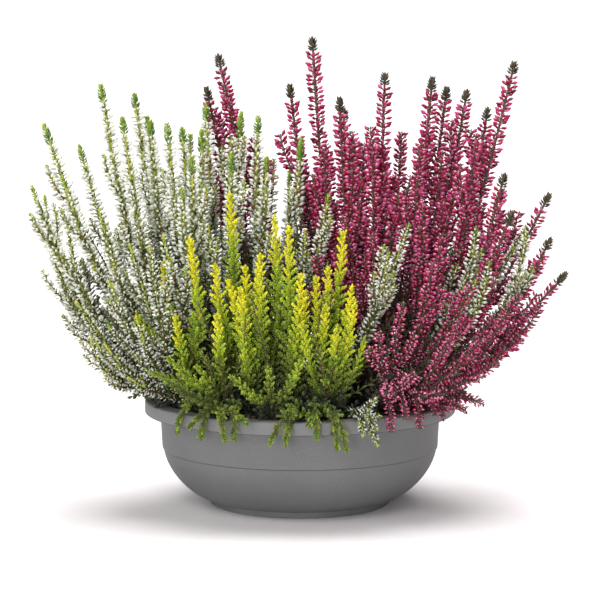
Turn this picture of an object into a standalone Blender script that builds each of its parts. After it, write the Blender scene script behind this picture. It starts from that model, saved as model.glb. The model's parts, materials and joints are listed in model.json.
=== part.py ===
"""Bowl planter with three potted heathers: white-flowered, magenta-flowered and yellow-leaved.

Millimetres throughout, turned into metres as each mesh is made. +Z is up, the origin is the middle
of the bowl's flat underside, and -Y is the side that the yellow heather faces. Each spray is one
body: a woody stem that stands in a plain hole in the soil, forked into shoots whose buds or scale
leaves are raised from a slim core, two to a ring and turned a quarter from ring to ring.
"""

import math
from dataclasses import dataclass

import bmesh
import bpy
import numpy as np
from mathutils import Vector

MM = 0.001

# Bowl
LIP_RADIUS = 115.0
LIP_HEIGHT = 9.6
RIM_TOP = 78.0
WALL = 2.1
BODY_RADIUS = 104.3
STEP_RADIUS = 101.3
STEP_HEIGHT = 41.6
STEP_OUT = 0.9
FOOT_RADIUS = 67.0
FOOT_HEIGHT = 4.6
FLOOR_THICKNESS = 2.6
BELLY_POWER = 1.6
BELLY_POINTS = 6
BOWL_SIDES = 36
DRAIN_HOLES = 4
DRAIN_RADIUS = 3.0
DRAIN_CIRCLE = 44.0

# Potting soil
SOIL_GAP = 0.35
SOIL_EDGE = 67.0
SOIL_MOUND = 4.0
HOLE_RADIUS = 2.4
HOLE_DEPTH = 11.0
HOLE_SIDES = 5

# Stems
STEM_RADIUS = 1.5
STEM_GAP = 0.5
STEM_SIDES = 4
UPRIGHT = 4.0
BASE_SPACING = 11.5
BASE_REACH = 88.0

# Layout of the stems' lines
LINE_POINTS = 13
SAMPLES_BETWEEN = 3
CLEARANCE = 1.3
ROUNDS = 240
RETURN_ROUNDS = 144
PUSH = 1.6
RETURN = 0.03
STRAIGHTEN = 0.22
NEIGHBOUR_ROUNDS = 12
NEIGHBOUR_REACH = 30.0
FORK_FREE = 34.0
RIM_INNER = 100.5
RIM_OUTER = 116.0
LOW_TIP = 45.0
OVER_RIM = 26.0
LEAST_RISE = 14.0

@dataclass(frozen=True)
class Kind:
    """How one kind of heather grows: shares are of a shoot's length or of its radius."""

    crown: tuple
    radius: float
    core: float
    bare: float
    pitch: float
    taper: float
    bow: float
    spread: float


KINDS = {
    "white": Kind((-50.0, 18.0), 6.4, 0.42, 0.14, 15.4, 26.0, 0.60, 0.48),
    "magenta": Kind((50.0, 20.0), 6.5, 0.45, 0.13, 15.4, 26.0, 0.45, 0.46),
    "yellow": Kind((-10.0, -48.0), 7.2, 0.46, 0.08, 13.2, 60.0, 0.45, 0.72),
}
TIP_RADIUS = 2.0
FOOT_TAPER = 40.0
FORK_BARE = 0.10
FORKS = (3, 2, 4, 5)
LIFT = 0.5

# The sprays: for each, the tips of its shoots (x, y, z), the main one first
WHITE_TIPS = (
    ((-188, 0, 281), (-195, -25, 238)),
    ((-165, 30, 264), (-176, -10, 190)),
    ((-147, 10, 310), (-171, -45, 246)),
    ((-129, -20, 287), (-143, -65, 224)),
    ((-124, 35, 302), (-110, 0, 284)),
    ((-116, 60, 284), (-84, 75, 270)),
    ((-96, -30, 283), (-77, -55, 261)),
    ((-88, 30, 277), (-72, -5, 277)),
    ((-70, 50, 293), (-44, 45, 288)),
    ((-31, 20, 286), (-24, -15, 258)),
    ((-50, -25, 262), (-66, -50, 212)),
    ((-84, -60, 239), (-97, -75, 207)),
    ((-122, -60, 199), (-136, -75, 174), (-106, -85, 200)),
    ((-162, -45, 156), (-150, -20, 123), (-144, -44, 104)),
    ((-116, -85, 150), (-140, -68, 128), (-124, -70, 104)),
    ((1, 15, 270), (21, -30, 232)),
    ((-60, 88, 262), (-95, 98, 236)),
    ((-130, 70, 250), (-150, 62, 205), (-128, 92, 190)),
    ((-70, 112, 206), (-98, 112, 172), (-45, 118, 168)),
    ((-20, 92, 250), (-30, 112, 208)),
)
AMONG_TIPS = (
    ((78, -65, 214), (63, -76, 194)),
    ((126, -20, 218), (131, -55, 195)),
    ((166, -15, 208),),
)
MAGENTA_TIPS = (
    ((-62, 62, 330), (-71, 58, 306), (-37, 70, 268)),
    ((9, 30, 343), (-8, 50, 308), (18, 0, 263)),
    ((29, 10, 300), (38, -20, 277)),
    ((33, 55, 290), (48, 35, 266)),
    ((63, 25, 317), (52, -40, 272)),
    ((97, 0, 315), (86, -45, 270)),
    ((110, 40, 307), (123, 10, 305)),
    ((158, 10, 326), (140, 30, 291)),
    ((127, -35, 276), (147, -42, 247)),
    ((184, 0, 230), (152, 28, 231)),
    ((151, -62, 222), (139, -52, 183)),
    ((197, 0, 171), (182, -27, 199)),
    ((160, 50, 198), (172, 32, 160)),
    ((70, -25, 232), (52, -55, 206), (33, -40, 215)),
    ((115, -30, 240), (88, -52, 227), (101, -72, 207)),
    ((94, -82, 188), (122, -77, 173)),
    ((160, -42, 161), (149, -66, 150)),
    ((72, -96, 161), (55, -102, 141), (80, -106, 112), (60, -110, 98)),
    ((108, -94, 140), (129, -84, 133), (100, -98, 96)),
    ((143, -58, 114), (133, -62, 82), (119, -80, 80)),
    ((20, 95, 262), (45, 108, 222), (14, 116, 184)),
    ((78, 78, 272), (92, 104, 226), (66, 118, 178)),
    ((122, 78, 246), (140, 84, 196), (118, 104, 172)),
)
YELLOW_TIPS = (
    ((-97, -60, 187), (-78, -72, 204), (-116, -56, 148)),
    ((-50, -45, 234), (-60, -84, 187)),
    ((-28, -80, 194), (-51, -76, 175), (-42, -98, 172)),
    ((-18, -60, 220), (-30, -60, 182), (-39, -64, 184)),
    ((-8, -76, 213), (1, -92, 181)),
    ((31, -60, 208), (11, -70, 177), (18, -100, 160)),
    ((37, -82, 172), (39, -96, 163), (26, -110, 147), (16, -114, 108)),
    ((-58, -102, 154), (-94, -96, 122), (-72, -110, 118), (-108, -80, 110)),
    ((-22, -117, 118), (-49, -116, 112), (2, -118, 124), (-36, -114, 98)),
)
TRAILING = "trailing_spray"
TRAILING_TIPS = (
    ("yellow", ((-96, -112, 108), (-52, -126, 66), (-78, -118, 74), (-36, -124, 78))),
    ("yellow", ((33, -126, 58), (-22, -128, 64), (6, -126, 76))),
    ("white", ((54, -124, 62), (44, -127, 70))),
)

COLOURS = {
    "bowl": ((0.19, 0.19, 0.185), 0.55),
    "potting_soil": ((0.035, 0.025, 0.018), 0.95),
    "white": ((0.72, 0.74, 0.60), 0.7),
    "magenta": ((0.32, 0.02, 0.10), 0.65),
    "yellow": ((0.45, 0.48, 0.04), 0.65),
}


def material_for(name):
    """A plain Principled material in the colour of the named thing."""
    colour, roughness = COLOURS[name]
    material = bpy.data.materials.new(name)
    material.use_nodes = True
    shader = material.node_tree.nodes["Principled BSDF"]
    shader.inputs["Base Color"].default_value = (*colour, 1.0)
    shader.inputs["Roughness"].default_value = roughness
    shader.inputs["Metallic"].default_value = 0.0
    return material


def object_from(bm, name, material):
    """Closes the bmesh into an object, in metres."""
    bmesh.ops.scale(bm, vec=Vector((MM, MM, MM)), verts=bm.verts)
    bmesh.ops.recalc_face_normals(bm, faces=bm.faces)
    mesh = bpy.data.meshes.new(name)
    bm.to_mesh(mesh)
    bm.free()
    mesh.materials.append(material)
    obj = bpy.data.objects.new(name, mesh)
    bpy.context.scene.collection.objects.link(obj)
    return obj


def turned(profile, sides):
    """A closed bmesh turned round Z from an open profile whose two ends lie on the axis."""
    bm = bmesh.new()
    verts = [bm.verts.new((radius, 0.0, height)) for radius, height in profile]
    edges = [bm.edges.new(pair) for pair in zip(verts, verts[1:])]
    bmesh.ops.spin(
        bm,
        geom=verts + edges,
        cent=(0, 0, 0),
        axis=(0, 0, 1),
        angle=2 * math.pi,
        steps=sides,
        use_merge=True,
    )
    bmesh.ops.remove_doubles(bm, verts=bm.verts, dist=1e-4)
    return bm


def boolean(obj, operation, collection):
    """Joins or cuts with every object of the collection, applied, and removes them."""
    modifier = obj.modifiers.new(operation.lower(), "BOOLEAN")
    modifier.operation = operation
    modifier.operand_type = "COLLECTION"
    modifier.collection = collection
    modifier.solver = "EXACT"
    graph = bpy.context.evaluated_depsgraph_get()
    result = bpy.data.meshes.new_from_object(obj.evaluated_get(graph))
    obj.modifiers.remove(modifier)
    obj.data = result
    for other in list(collection.objects):
        bpy.data.objects.remove(other)
    bpy.data.collections.remove(collection)


def gathered(name, objects):
    """A collection that holds these objects and is linked to the scene."""
    collection = bpy.data.collections.new(name)
    bpy.context.scene.collection.children.link(collection)
    for obj in objects:
        bpy.context.scene.collection.objects.unlink(obj)
        collection.objects.link(obj)
    return collection


def belly(inset):
    """The bowl's rounded lower side from the foot to the step, moved square inwards by the inset."""
    foot = (FOOT_RADIUS - inset, FOOT_HEIGHT + inset)
    step = (STEP_RADIUS - inset, STEP_HEIGHT)
    points = []
    for i in range(BELLY_POINTS + 1):
        turn = 0.5 * math.pi * i / BELLY_POINTS
        out = math.sin(turn) ** (2 / BELLY_POWER)
        down = math.cos(turn) ** (2 / BELLY_POWER)
        points.append((foot[0] + (step[0] - foot[0]) * out, step[1] - (step[1] - foot[1]) * down))
    return points


def bowl_profile():
    """Under the foot, up the outside, round the down-turned lip and down the inside."""
    lip_low = RIM_TOP - LIP_HEIGHT
    under_lip = RIM_TOP - WALL
    outside = [(0.0, 0.0), (FOOT_RADIUS - 1.0, 0.0), (FOOT_RADIUS, 1.0)]
    outside += belly(0.0)
    outside += [
        (STEP_RADIUS + STEP_OUT, STEP_HEIGHT + 0.8),
        (BODY_RADIUS, under_lip),
        (LIP_RADIUS - WALL, under_lip),
        (LIP_RADIUS - WALL, lip_low),
        (LIP_RADIUS - 0.3, lip_low),
        (LIP_RADIUS, lip_low + 0.6),
        (LIP_RADIUS, RIM_TOP - 1.6),
        (LIP_RADIUS - 1.6, RIM_TOP),
        (BODY_RADIUS - WALL + 0.8, RIM_TOP),
        (BODY_RADIUS - WALL, RIM_TOP - 0.8),
    ]
    inside = belly(WALL)[::-2]
    return outside + inside + [(FOOT_RADIUS - WALL, FLOOR_THICKNESS), (0.0, FLOOR_THICKNESS)]


def make_bowl():
    """The bowl, with drain holes in its floor."""
    bowl = object_from(turned(bowl_profile(), BOWL_SIDES), "bowl", material_for("bowl"))
    drills = []
    for i in range(DRAIN_HOLES):
        turn = 2 * math.pi * (i + 0.5) / DRAIN_HOLES
        place = (DRAIN_CIRCLE * math.cos(turn), DRAIN_CIRCLE * math.sin(turn), 0.0)
        drills.append(drill(place, DRAIN_RADIUS, 20.0, -10.0, 8))
    boolean(bowl, "DIFFERENCE", gathered("drain_drills", drills))
    bowl.data.shade_smooth()
    bowl.data.set_sharp_from_angle(angle=math.radians(35))
    return bowl


def drill(place, radius, length, low, sides):
    """An upright cutter whose lower end is at height low above the place."""
    bm = bmesh.new()
    bmesh.ops.create_cone(
        bm, cap_ends=True, segments=sides, radius1=radius, radius2=radius, depth=length
    )
    x, y, z = place
    bmesh.ops.translate(bm, vec=(x, y, z + low + length / 2), verts=bm.verts)
    obj = object_from(bm, "drill", material_for("potting_soil"))
    obj.hide_render = True
    obj.display_type = "WIRE"
    return obj


def soil_height(x, y):
    """Height of the soil's slightly mounded top."""
    edge = BODY_RADIUS - WALL
    return SOIL_EDGE + SOIL_MOUND * (1.0 - min(1.0, math.hypot(x, y) / edge) ** 2)


def make_soil(holes):
    """The potting soil, which fills the bowl and has a plain hole for each stem."""
    inset = WALL + SOIL_GAP
    edge = STEP_RADIUS - inset
    profile = [(0.0, FLOOR_THICKNESS + SOIL_GAP), (FOOT_RADIUS - inset, FLOOR_THICKNESS + SOIL_GAP)]
    profile += belly(inset)[::2] + [(edge, SOIL_EDGE)]
    for share in (0.66, 0.33):
        profile.append((edge * share, soil_height(edge * share, 0.0)))
    profile.append((0.0, soil_height(0.0, 0.0)))
    soil = object_from(turned(profile, BOWL_SIDES), "potting_soil", material_for("potting_soil"))
    drills = []
    for x, y in holes:
        place = (x, y, soil_height(x, y))
        drills.append(drill(place, HOLE_RADIUS, HOLE_DEPTH + 12.0, -HOLE_DEPTH, HOLE_SIDES))
    boolean(soil, "DIFFERENCE", gathered("stem_drills", drills))
    return soil


class Shoot:
    """One shoot: its kind, its node, where it starts on its parent, and its tip."""

    def __init__(self, kind, node, tip, parent=None, fork=0):
        self.kind = KINDS[kind]
        self.node = node
        self.tip = np.array(tip, float)
        self.parent = parent
        self.fork = fork


def planting():
    """Every spray's name with its kind and its shoots' tips."""
    sprays = []
    for kind, prefix, plan in (
        ("white", "white_spray", WHITE_TIPS + AMONG_TIPS),
        ("magenta", "magenta_spray", MAGENTA_TIPS),
        ("yellow", "yellow_spray", YELLOW_TIPS),
    ):
        for i, tips in enumerate(plan):
            sprays.append((f"{prefix}_{i + 1:02d}", kind, tips))
    for i, (kind, tips) in enumerate(TRAILING_TIPS):
        sprays.append((f"{TRAILING}_{i + 1:02d}", kind, tips))
    return sprays


def base_places(sprays):
    """Where each spray's stem enters the soil: towards its tips from the crown, spaced apart."""
    places = []
    for name, kind, tips in sprays:
        middle = np.mean(np.array(tips, float), axis=0)[:2]
        crown = np.array(KINDS[kind].crown)
        if name.startswith(TRAILING):
            places.append(BASE_REACH * middle / np.hypot(*middle))
        else:
            places.append(crown + KINDS[kind].spread * (middle - crown))
    places = np.array(places)
    for _ in range(400):
        apart = places[:, None] - places[None]
        distance = np.hypot(apart[..., 0], apart[..., 1]) + np.eye(len(places)) * 1e3
        push = np.clip(BASE_SPACING - distance, 0, None) / distance
        places += 0.4 * (apart * push[..., None]).sum(axis=1)
        reach = np.hypot(places[:, 0], places[:, 1])
        places *= np.minimum(1.0, BASE_REACH / reach)[:, None]
    return places


def curve_between(start, tip, bow, least_rise):
    """A first line from a start to a tip: out and up, then more upright, over the rim if low."""
    across = (tip - start) * (1, 1, 0)
    rise = tip[2] - start[2]
    first = start + bow * across + (0, 0, max((0.34 - 0.27 * bow) * rise, least_rise))
    second = start + (0.55 + 0.667 * bow) * across + (0, 0, (0.82 - 0.53 * bow) * rise)
    if tip[2] < RIM_TOP + LOW_TIP and np.hypot(*tip[:2]) > BODY_RADIUS - 8.0:
        second[2] = max(second[2], RIM_TOP + OVER_RIM)
        second[:2] = start[:2] + 0.78 * across[:2]
    t = np.linspace(0.0, 1.0, LINE_POINTS)[:, None]
    return (
        (1 - t) ** 3 * start
        + 3 * (1 - t) ** 2 * t * first
        + 3 * (1 - t) * t**2 * second
        + t**3 * tip
    )


def first_lines(sprays, bases):
    """The shoots and their lines before they are spaced apart."""
    shoots, lines = [], []
    for node, ((_, kind, tips), base) in enumerate(zip(sprays, bases)):
        foot = np.array((*base, soil_height(*base) + UPRIGHT))
        main = len(shoots)
        bow = KINDS[kind].bow
        for order, tip in enumerate(tips):
            if order == 0:
                shoots.append(Shoot(kind, node, tip))
                lines.append(curve_between(foot, shoots[-1].tip, bow, LEAST_RISE))
                continue
            fork = FORKS[order - 1]
            shoots.append(Shoot(kind, node, tip, parent=main, fork=fork))
            lines.append(curve_between(lines[main][fork], shoots[-1].tip, bow, 0.0))
    return shoots, np.array(lines)


def arc_lengths(line):
    """Distance along the line to each of its points."""
    steps = np.linalg.norm(np.diff(line, axis=0), axis=1)
    return np.concatenate([[0.0], np.cumsum(steps)])


def bare_length(shoot, length):
    """How much of a shoot, from its start, is bare stem."""
    return (shoot.kind.bare if shoot.parent is None else FORK_BARE) * length


def bud_radius(shoot, along, length):
    """The radius that a shoot's buds reach at a distance along it."""
    kind = shoot.kind
    opening = np.clip((along - bare_length(shoot, length)) / FOOT_TAPER, 0.0, 1.0)
    closing = np.clip((length - along) / kind.taper, 0.0, 1.0)
    full = STEM_RADIUS + (kind.radius - STEM_RADIUS) * opening
    return np.minimum(full, TIP_RADIUS + (kind.radius - TIP_RADIUS) * closing**0.8)


def spaced_apart(shoots, lines):
    """Moves the lines until no two nodes' buds, the rim or the soil touch."""
    count, points, _ = lines.shape
    fine = (points - 1) * SAMPLES_BETWEEN + 1
    place = np.arange(fine) / SAMPLES_BETWEEN
    low = np.minimum(place.astype(int), points - 2)
    share = place - low
    shoot_of = np.repeat(np.arange(count), fine)
    node_of = np.array([shoot.node for shoot in shoots])[shoot_of]
    wanted = lines.copy()
    along_of = np.zeros((count, fine))
    radius_of = np.zeros((count, fine))
    for i, shoot in enumerate(shoots):
        along = arc_lengths(lines[i])
        along_of[i] = np.interp(place, np.arange(points), along)
        radius_of[i] = bud_radius(shoot, along_of[i], along[-1])
    along_of = along_of.reshape(-1)
    radius_of = radius_of.reshape(-1)
    from_fork = np.where(np.array([s.parent is None for s in shoots])[shoot_of], 1e3, along_of)
    for i, shoot in enumerate(shoots):
        if shoot.parent is not None:
            mains = shoot_of == shoot.parent
            fork_along = arc_lengths(lines[shoot.parent])[shoot.fork]
            near = np.abs(along_of[mains] - fork_along)
            from_fork[mains] = np.minimum(from_fork[mains], near)
    first = second = None
    for step in range(ROUNDS):
        at_low = lines[:, low]
        at_high = lines[:, low + 1]
        samples = (at_low + (at_high - at_low) * share[None, :, None]).reshape(-1, 3)
        if step % NEIGHBOUR_ROUNDS == 0:
            first, second = close_pairs(samples, node_of, shoot_of, from_fork)
        shift = np.zeros_like(samples)
        apart = samples[first] - samples[second]
        distance = np.linalg.norm(apart, axis=1) + 1e-9
        room = radius_of[first] + radius_of[second] + CLEARANCE
        push = np.clip(room - distance, 0.0, None)[:, None] * apart / distance[:, None] * 0.5
        hits = np.bincount(first, push[:, 0] != 0, len(samples))
        hits += np.bincount(second, push[:, 0] != 0, len(samples))
        for axis in range(3):
            shift[:, axis] += np.bincount(first, push[:, axis], len(samples))
            shift[:, axis] -= np.bincount(second, push[:, axis], len(samples))
        shift /= np.maximum(1.0, 0.5 * hits)[:, None]
        shift += held_off(samples, radius_of)
        moved = np.zeros_like(lines)
        weight = np.zeros((count, points, 1))
        shift = shift.reshape(count, fine, 3)
        for k in range(fine):
            moved[:, low[k]] += shift[:, k] * (1 - share[k])
            moved[:, low[k] + 1] += shift[:, k] * share[k]
            weight[:, low[k]] += 1 - share[k]
            weight[:, low[k] + 1] += share[k]
        lines = lines + PUSH * moved / weight
        if step < RETURN_ROUNDS:
            lines += RETURN * (wanted - lines)
        middle = 0.5 * (lines[:, :-2] + lines[:, 2:])
        lines[:, 1:-1] += STRAIGHTEN * (middle - lines[:, 1:-1])
        for i, shoot in enumerate(shoots):
            if shoot.parent is None:
                lines[i, 0] = wanted[i, 0]
            else:
                lines[i, 0] = lines[shoot.parent, shoot.fork]
    return lines


def close_pairs(samples, node_of, shoot_of, from_fork):
    """Pairs of samples on different shoots that lie near each other."""
    squares = (samples**2).sum(axis=1)
    firsts, seconds = [], []
    for start in range(0, len(samples), 800):
        block = samples[start : start + 800]
        gaps = squares[start : start + 800, None] + squares[None] - 2 * block @ samples.T
        rows, columns = np.nonzero(gaps < NEIGHBOUR_REACH**2)
        rows += start
        same_node = node_of[rows] == node_of[columns]
        at_fork = np.minimum(from_fork[rows], from_fork[columns]) < FORK_FREE
        keep = (rows < columns) & (shoot_of[rows] != shoot_of[columns]) & ~(same_node & at_fork)
        firsts.append(rows[keep])
        seconds.append(columns[keep])
    return np.concatenate(firsts), np.concatenate(seconds)


def held_off(samples, radius_of):
    """Shift that keeps samples out of the bowl's rim and off the soil."""
    shift = np.zeros_like(samples)
    reach = np.hypot(samples[:, 0], samples[:, 1]) + 1e-9
    outward = samples * (1, 1, 0) / reach[:, None]
    room = radius_of + CLEARANCE
    inside = (reach > RIM_INNER - room) & (reach < RIM_OUTER + room)
    over = RIM_TOP + room - samples[:, 2]
    out = RIM_OUTER + room - reach
    inward = reach - (RIM_INNER - room)
    hit = inside & (over > 0)
    go_up = hit & (over <= np.minimum(out, inward))
    go_out = hit & ~go_up & (out <= inward)
    go_in = hit & ~go_up & ~go_out
    shift[go_up, 2] += over[go_up]
    shift[go_out] += outward[go_out] * out[go_out, None]
    shift[go_in] -= outward[go_in] * inward[go_in, None]
    edge = BODY_RADIUS - WALL
    mound = SOIL_EDGE + SOIL_MOUND * (1.0 - np.clip(reach / edge, 0, 1) ** 2)
    sunk = (reach < RIM_INNER) & (samples[:, 2] < mound + room) & (radius_of > STEM_RADIUS + 0.1)
    shift[sunk, 2] += (mound + room - samples[:, 2])[sunk]
    return shift


def smooth_points(line, distances):
    """Points at the distances along a smooth curve through the line's points."""
    along = arc_lengths(line)
    before = np.vstack([2 * line[:1] - line[1:2], line[:-1]])
    after = np.vstack([line[1:], 2 * line[-1:] - line[-2:-1]])
    slope = 0.5 * (after - before)
    where = np.clip(np.searchsorted(along, distances, side="right") - 1, 0, len(line) - 2)
    t = ((distances - along[where]) / (along[where + 1] - along[where]))[:, None]
    start, end = line[where], line[where + 1]
    return (
        (2 * t**3 - 3 * t**2 + 1) * start
        + (t**3 - 2 * t**2 + t) * slope[where]
        + (3 * t**2 - 2 * t**3) * end
        + (t**3 - t**2) * slope[where + 1]
    )


def carried_frames(points):
    """For each point the direction of the line and two sides that turn with it, without twist."""
    ahead = np.gradient(points, axis=0)
    ahead /= np.linalg.norm(ahead, axis=1, keepdims=True)
    side = np.cross(ahead[0], (0.0, 1.0, 0.2))
    side /= np.linalg.norm(side)
    sides = []
    for direction in ahead:
        side = side - direction * (side @ direction)
        side = side / np.linalg.norm(side)
        sides.append(side)
    sides = np.array(sides)
    return ahead, sides, np.cross(ahead, sides)


def shoot_mesh(shoot, line):
    """A bmesh of one shoot: rings whose points are raised by turns into buds, closed at the tip."""
    length = arc_lengths(line)[-1]
    kind = shoot.kind
    bare = bare_length(shoot, length)
    rings = max(3, round((length - bare) / kind.pitch))
    leafy = np.linspace(bare, length, rings + 1)[:-1]
    stem = np.linspace(0.0, bare, 3 if shoot.parent is None else 2)[:-1]
    distances = np.concatenate([stem, leafy])
    pitch = (length - bare) / rings
    centres = smooth_points(line, distances)
    radii = bud_radius(shoot, distances, length)
    if shoot.parent is None:
        x, y, z = line[0]
        low = np.array([(x, y, z - UPRIGHT - HOLE_DEPTH + STEM_GAP), (x, y, z - UPRIGHT)])
        centres = np.vstack([low, centres])
        radii = np.concatenate([[STEM_RADIUS, STEM_RADIUS], radii])
    bare_rings = len(centres) - rings
    ahead, sides, others = carried_frames(np.vstack([centres, line[-1:]]))
    bm = bmesh.new()
    grid = []
    for k, (centre, radius) in enumerate(zip(centres, radii)):
        ring = []
        for j in range(STEM_SIDES):
            turn = 2 * math.pi * j / STEM_SIDES
            outward = math.cos(turn) * sides[k] + math.sin(turn) * others[k]
            raised = k >= bare_rings and (j + k) % 2 == 0
            core = max(kind.core * radius, STEM_RADIUS * 0.85)
            reach = radius if raised else (core if k >= bare_rings else STEM_RADIUS)
            lift = LIFT * pitch * ahead[k] if raised else 0.0
            ring.append(bm.verts.new(centre + reach * outward + lift))
        grid.append(ring)
    for k in range(len(grid) - 1):
        for j in range(STEM_SIDES):
            a, b = grid[k][j], grid[k][(j + 1) % STEM_SIDES]
            c, d = grid[k + 1][(j + 1) % STEM_SIDES], grid[k + 1][j]
            if (j + k) % 2 == 0:
                bm.faces.new((a, b, d))
                bm.faces.new((b, c, d))
            else:
                bm.faces.new((a, b, c))
                bm.faces.new((a, c, d))
    bm.faces.new(reversed(grid[0]))
    top = bm.verts.new(line[-1])
    for j in range(STEM_SIDES):
        bm.faces.new((grid[-1][j], grid[-1][(j + 1) % STEM_SIDES], top))
    return bm


def make_sprays():
    """Every spray as one body, and the places where their stems enter the soil."""
    sprays = planting()
    bases = base_places(sprays)
    shoots, lines = first_lines(sprays, bases)
    lines = spaced_apart(shoots, lines)
    materials = {kind: material_for(kind) for kind in KINDS}
    for node, (name, kind, _) in enumerate(sprays):
        own = [i for i, shoot in enumerate(shoots) if shoot.node == node]
        pieces = [
            object_from(shoot_mesh(shoots[i], lines[i]), name, materials[kind]) for i in own
        ]
        pieces[0].name = name
        if len(pieces) > 1:
            boolean(pieces[0], "UNION", gathered(f"{name}_forks", pieces[1:]))
    return bases


def main():
    """Clears the scene and makes the bowl, the sprays and the soil that holds them."""
    for obj in list(bpy.data.objects):
        bpy.data.objects.remove(obj)
    make_bowl()
    holes = make_sprays()
    make_soil(holes)


main()
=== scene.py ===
"""Looks of three potted heathers in one bowl planter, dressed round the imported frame.

Lengths are in millimetres until a mesh is made, and +Z is up. The stems' lines are worked out
again from the same planting plan as the solids', so every bud, leaf and twig grows where its solid
stands. Small shapes are made once with mesh operators and copied in bulk along those lines.
"""

import json
import logging
import math
from collections.abc import Callable
from dataclasses import dataclass, field, replace
from enum import Enum

import bmesh
import bpy
import numpy as np
from mathutils import Matrix, Vector

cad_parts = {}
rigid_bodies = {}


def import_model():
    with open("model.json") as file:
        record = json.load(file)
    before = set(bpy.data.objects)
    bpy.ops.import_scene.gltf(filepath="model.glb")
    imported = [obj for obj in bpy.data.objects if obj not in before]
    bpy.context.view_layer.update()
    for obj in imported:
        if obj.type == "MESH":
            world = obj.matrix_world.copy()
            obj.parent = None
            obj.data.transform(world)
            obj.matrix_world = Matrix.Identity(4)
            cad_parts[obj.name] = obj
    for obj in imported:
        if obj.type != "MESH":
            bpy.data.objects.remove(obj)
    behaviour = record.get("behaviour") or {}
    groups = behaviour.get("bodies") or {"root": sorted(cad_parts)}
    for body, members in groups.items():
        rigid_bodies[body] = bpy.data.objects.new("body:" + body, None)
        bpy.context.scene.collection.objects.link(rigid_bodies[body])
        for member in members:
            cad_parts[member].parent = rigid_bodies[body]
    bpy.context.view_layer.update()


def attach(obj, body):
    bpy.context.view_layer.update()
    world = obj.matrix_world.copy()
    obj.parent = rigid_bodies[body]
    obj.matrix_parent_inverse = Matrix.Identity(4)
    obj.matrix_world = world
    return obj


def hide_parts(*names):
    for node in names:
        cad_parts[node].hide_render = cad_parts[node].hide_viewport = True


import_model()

MM = 0.001
BODY = "root"
CHART = "OFBake"
LEVELS = 16
BAND_EDGE = 0.04
BAND_SHARE = 0.92
ACROSS_SHARE = 0.42
ALONG_EDGE = 0.02
ALONG_SHARE = 0.96
PHASE = math.radians(20)
GOLDEN_TURN = math.pi * (3.0 - math.sqrt(5.0))
FULL_TURN = 2.0 * math.pi
FIRST_SEED = 1000

log = logging.getLogger("potted_heather")


def srgb(red: float, green: float, blue: float) -> tuple:
    """Turns a colour as a screen shows it, 0 to 255, into linear light with full alpha.

    Args:
        red, green, blue: the screen's values.

    Returns:
        Four linear values from 0 to 1.
    """
    shares = [value / 255.0 for value in (red, green, blue)]
    light = [s / 12.92 if s <= 0.04045 else ((s + 0.055) / 1.055) ** 2.4 for s in shares]
    return (*light, 1.0)


def unit(values: np.ndarray) -> np.ndarray:
    """The values held between 0 and 1."""
    return np.clip(values, 0.0, 1.0)


WHITE = srgb(255, 255, 255)


class Part(Enum):
    """What a face of a spray belongs to: its material slot, and its band of the chart."""

    BARK = 0
    LEAF = 1
    BUD = 2
    TIP = 3


def operator(operation: str, is_reflected: bool = False) -> Callable:
    """Makes an operator of Wire that adds one Math node.

    Args:
        operation: the node's operation.
        is_reflected: whether the wire comes second.

    Returns:
        The operator.
    """
    def apply(wire: "Wire", other: object) -> "Wire":
        """Adds the node and gives its result."""
        return wire.maths(operation, *((other, wire) if is_reflected else (wire, other)))
    return apply


class Wire:
    """A node's output that can be added, multiplied and so on as a number."""

    __add__ = __radd__ = operator("ADD")
    __mul__ = __rmul__ = operator("MULTIPLY")
    __sub__ = operator("SUBTRACT")
    __rsub__ = operator("SUBTRACT", is_reflected=True)
    __truediv__ = operator("DIVIDE")

    def __init__(self, maker: "Maker", socket: bpy.types.NodeSocket) -> None:
        """Keeps the material's maker and the socket."""
        self.maker = maker
        self.socket = socket

    def __abs__(self) -> "Wire":
        """Size without its sign."""
        return self.maths("ABSOLUTE", self)

    def maths(self, operation: str, *values: object) -> "Wire":
        """Adds one Math node.

        Args:
            operation: the node's operation.
            values: what goes into its sockets, in order.

        Returns:
            The node's result.
        """
        return self.maker.add("ShaderNodeMath", {"operation": operation}, dict(enumerate(values)))


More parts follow.
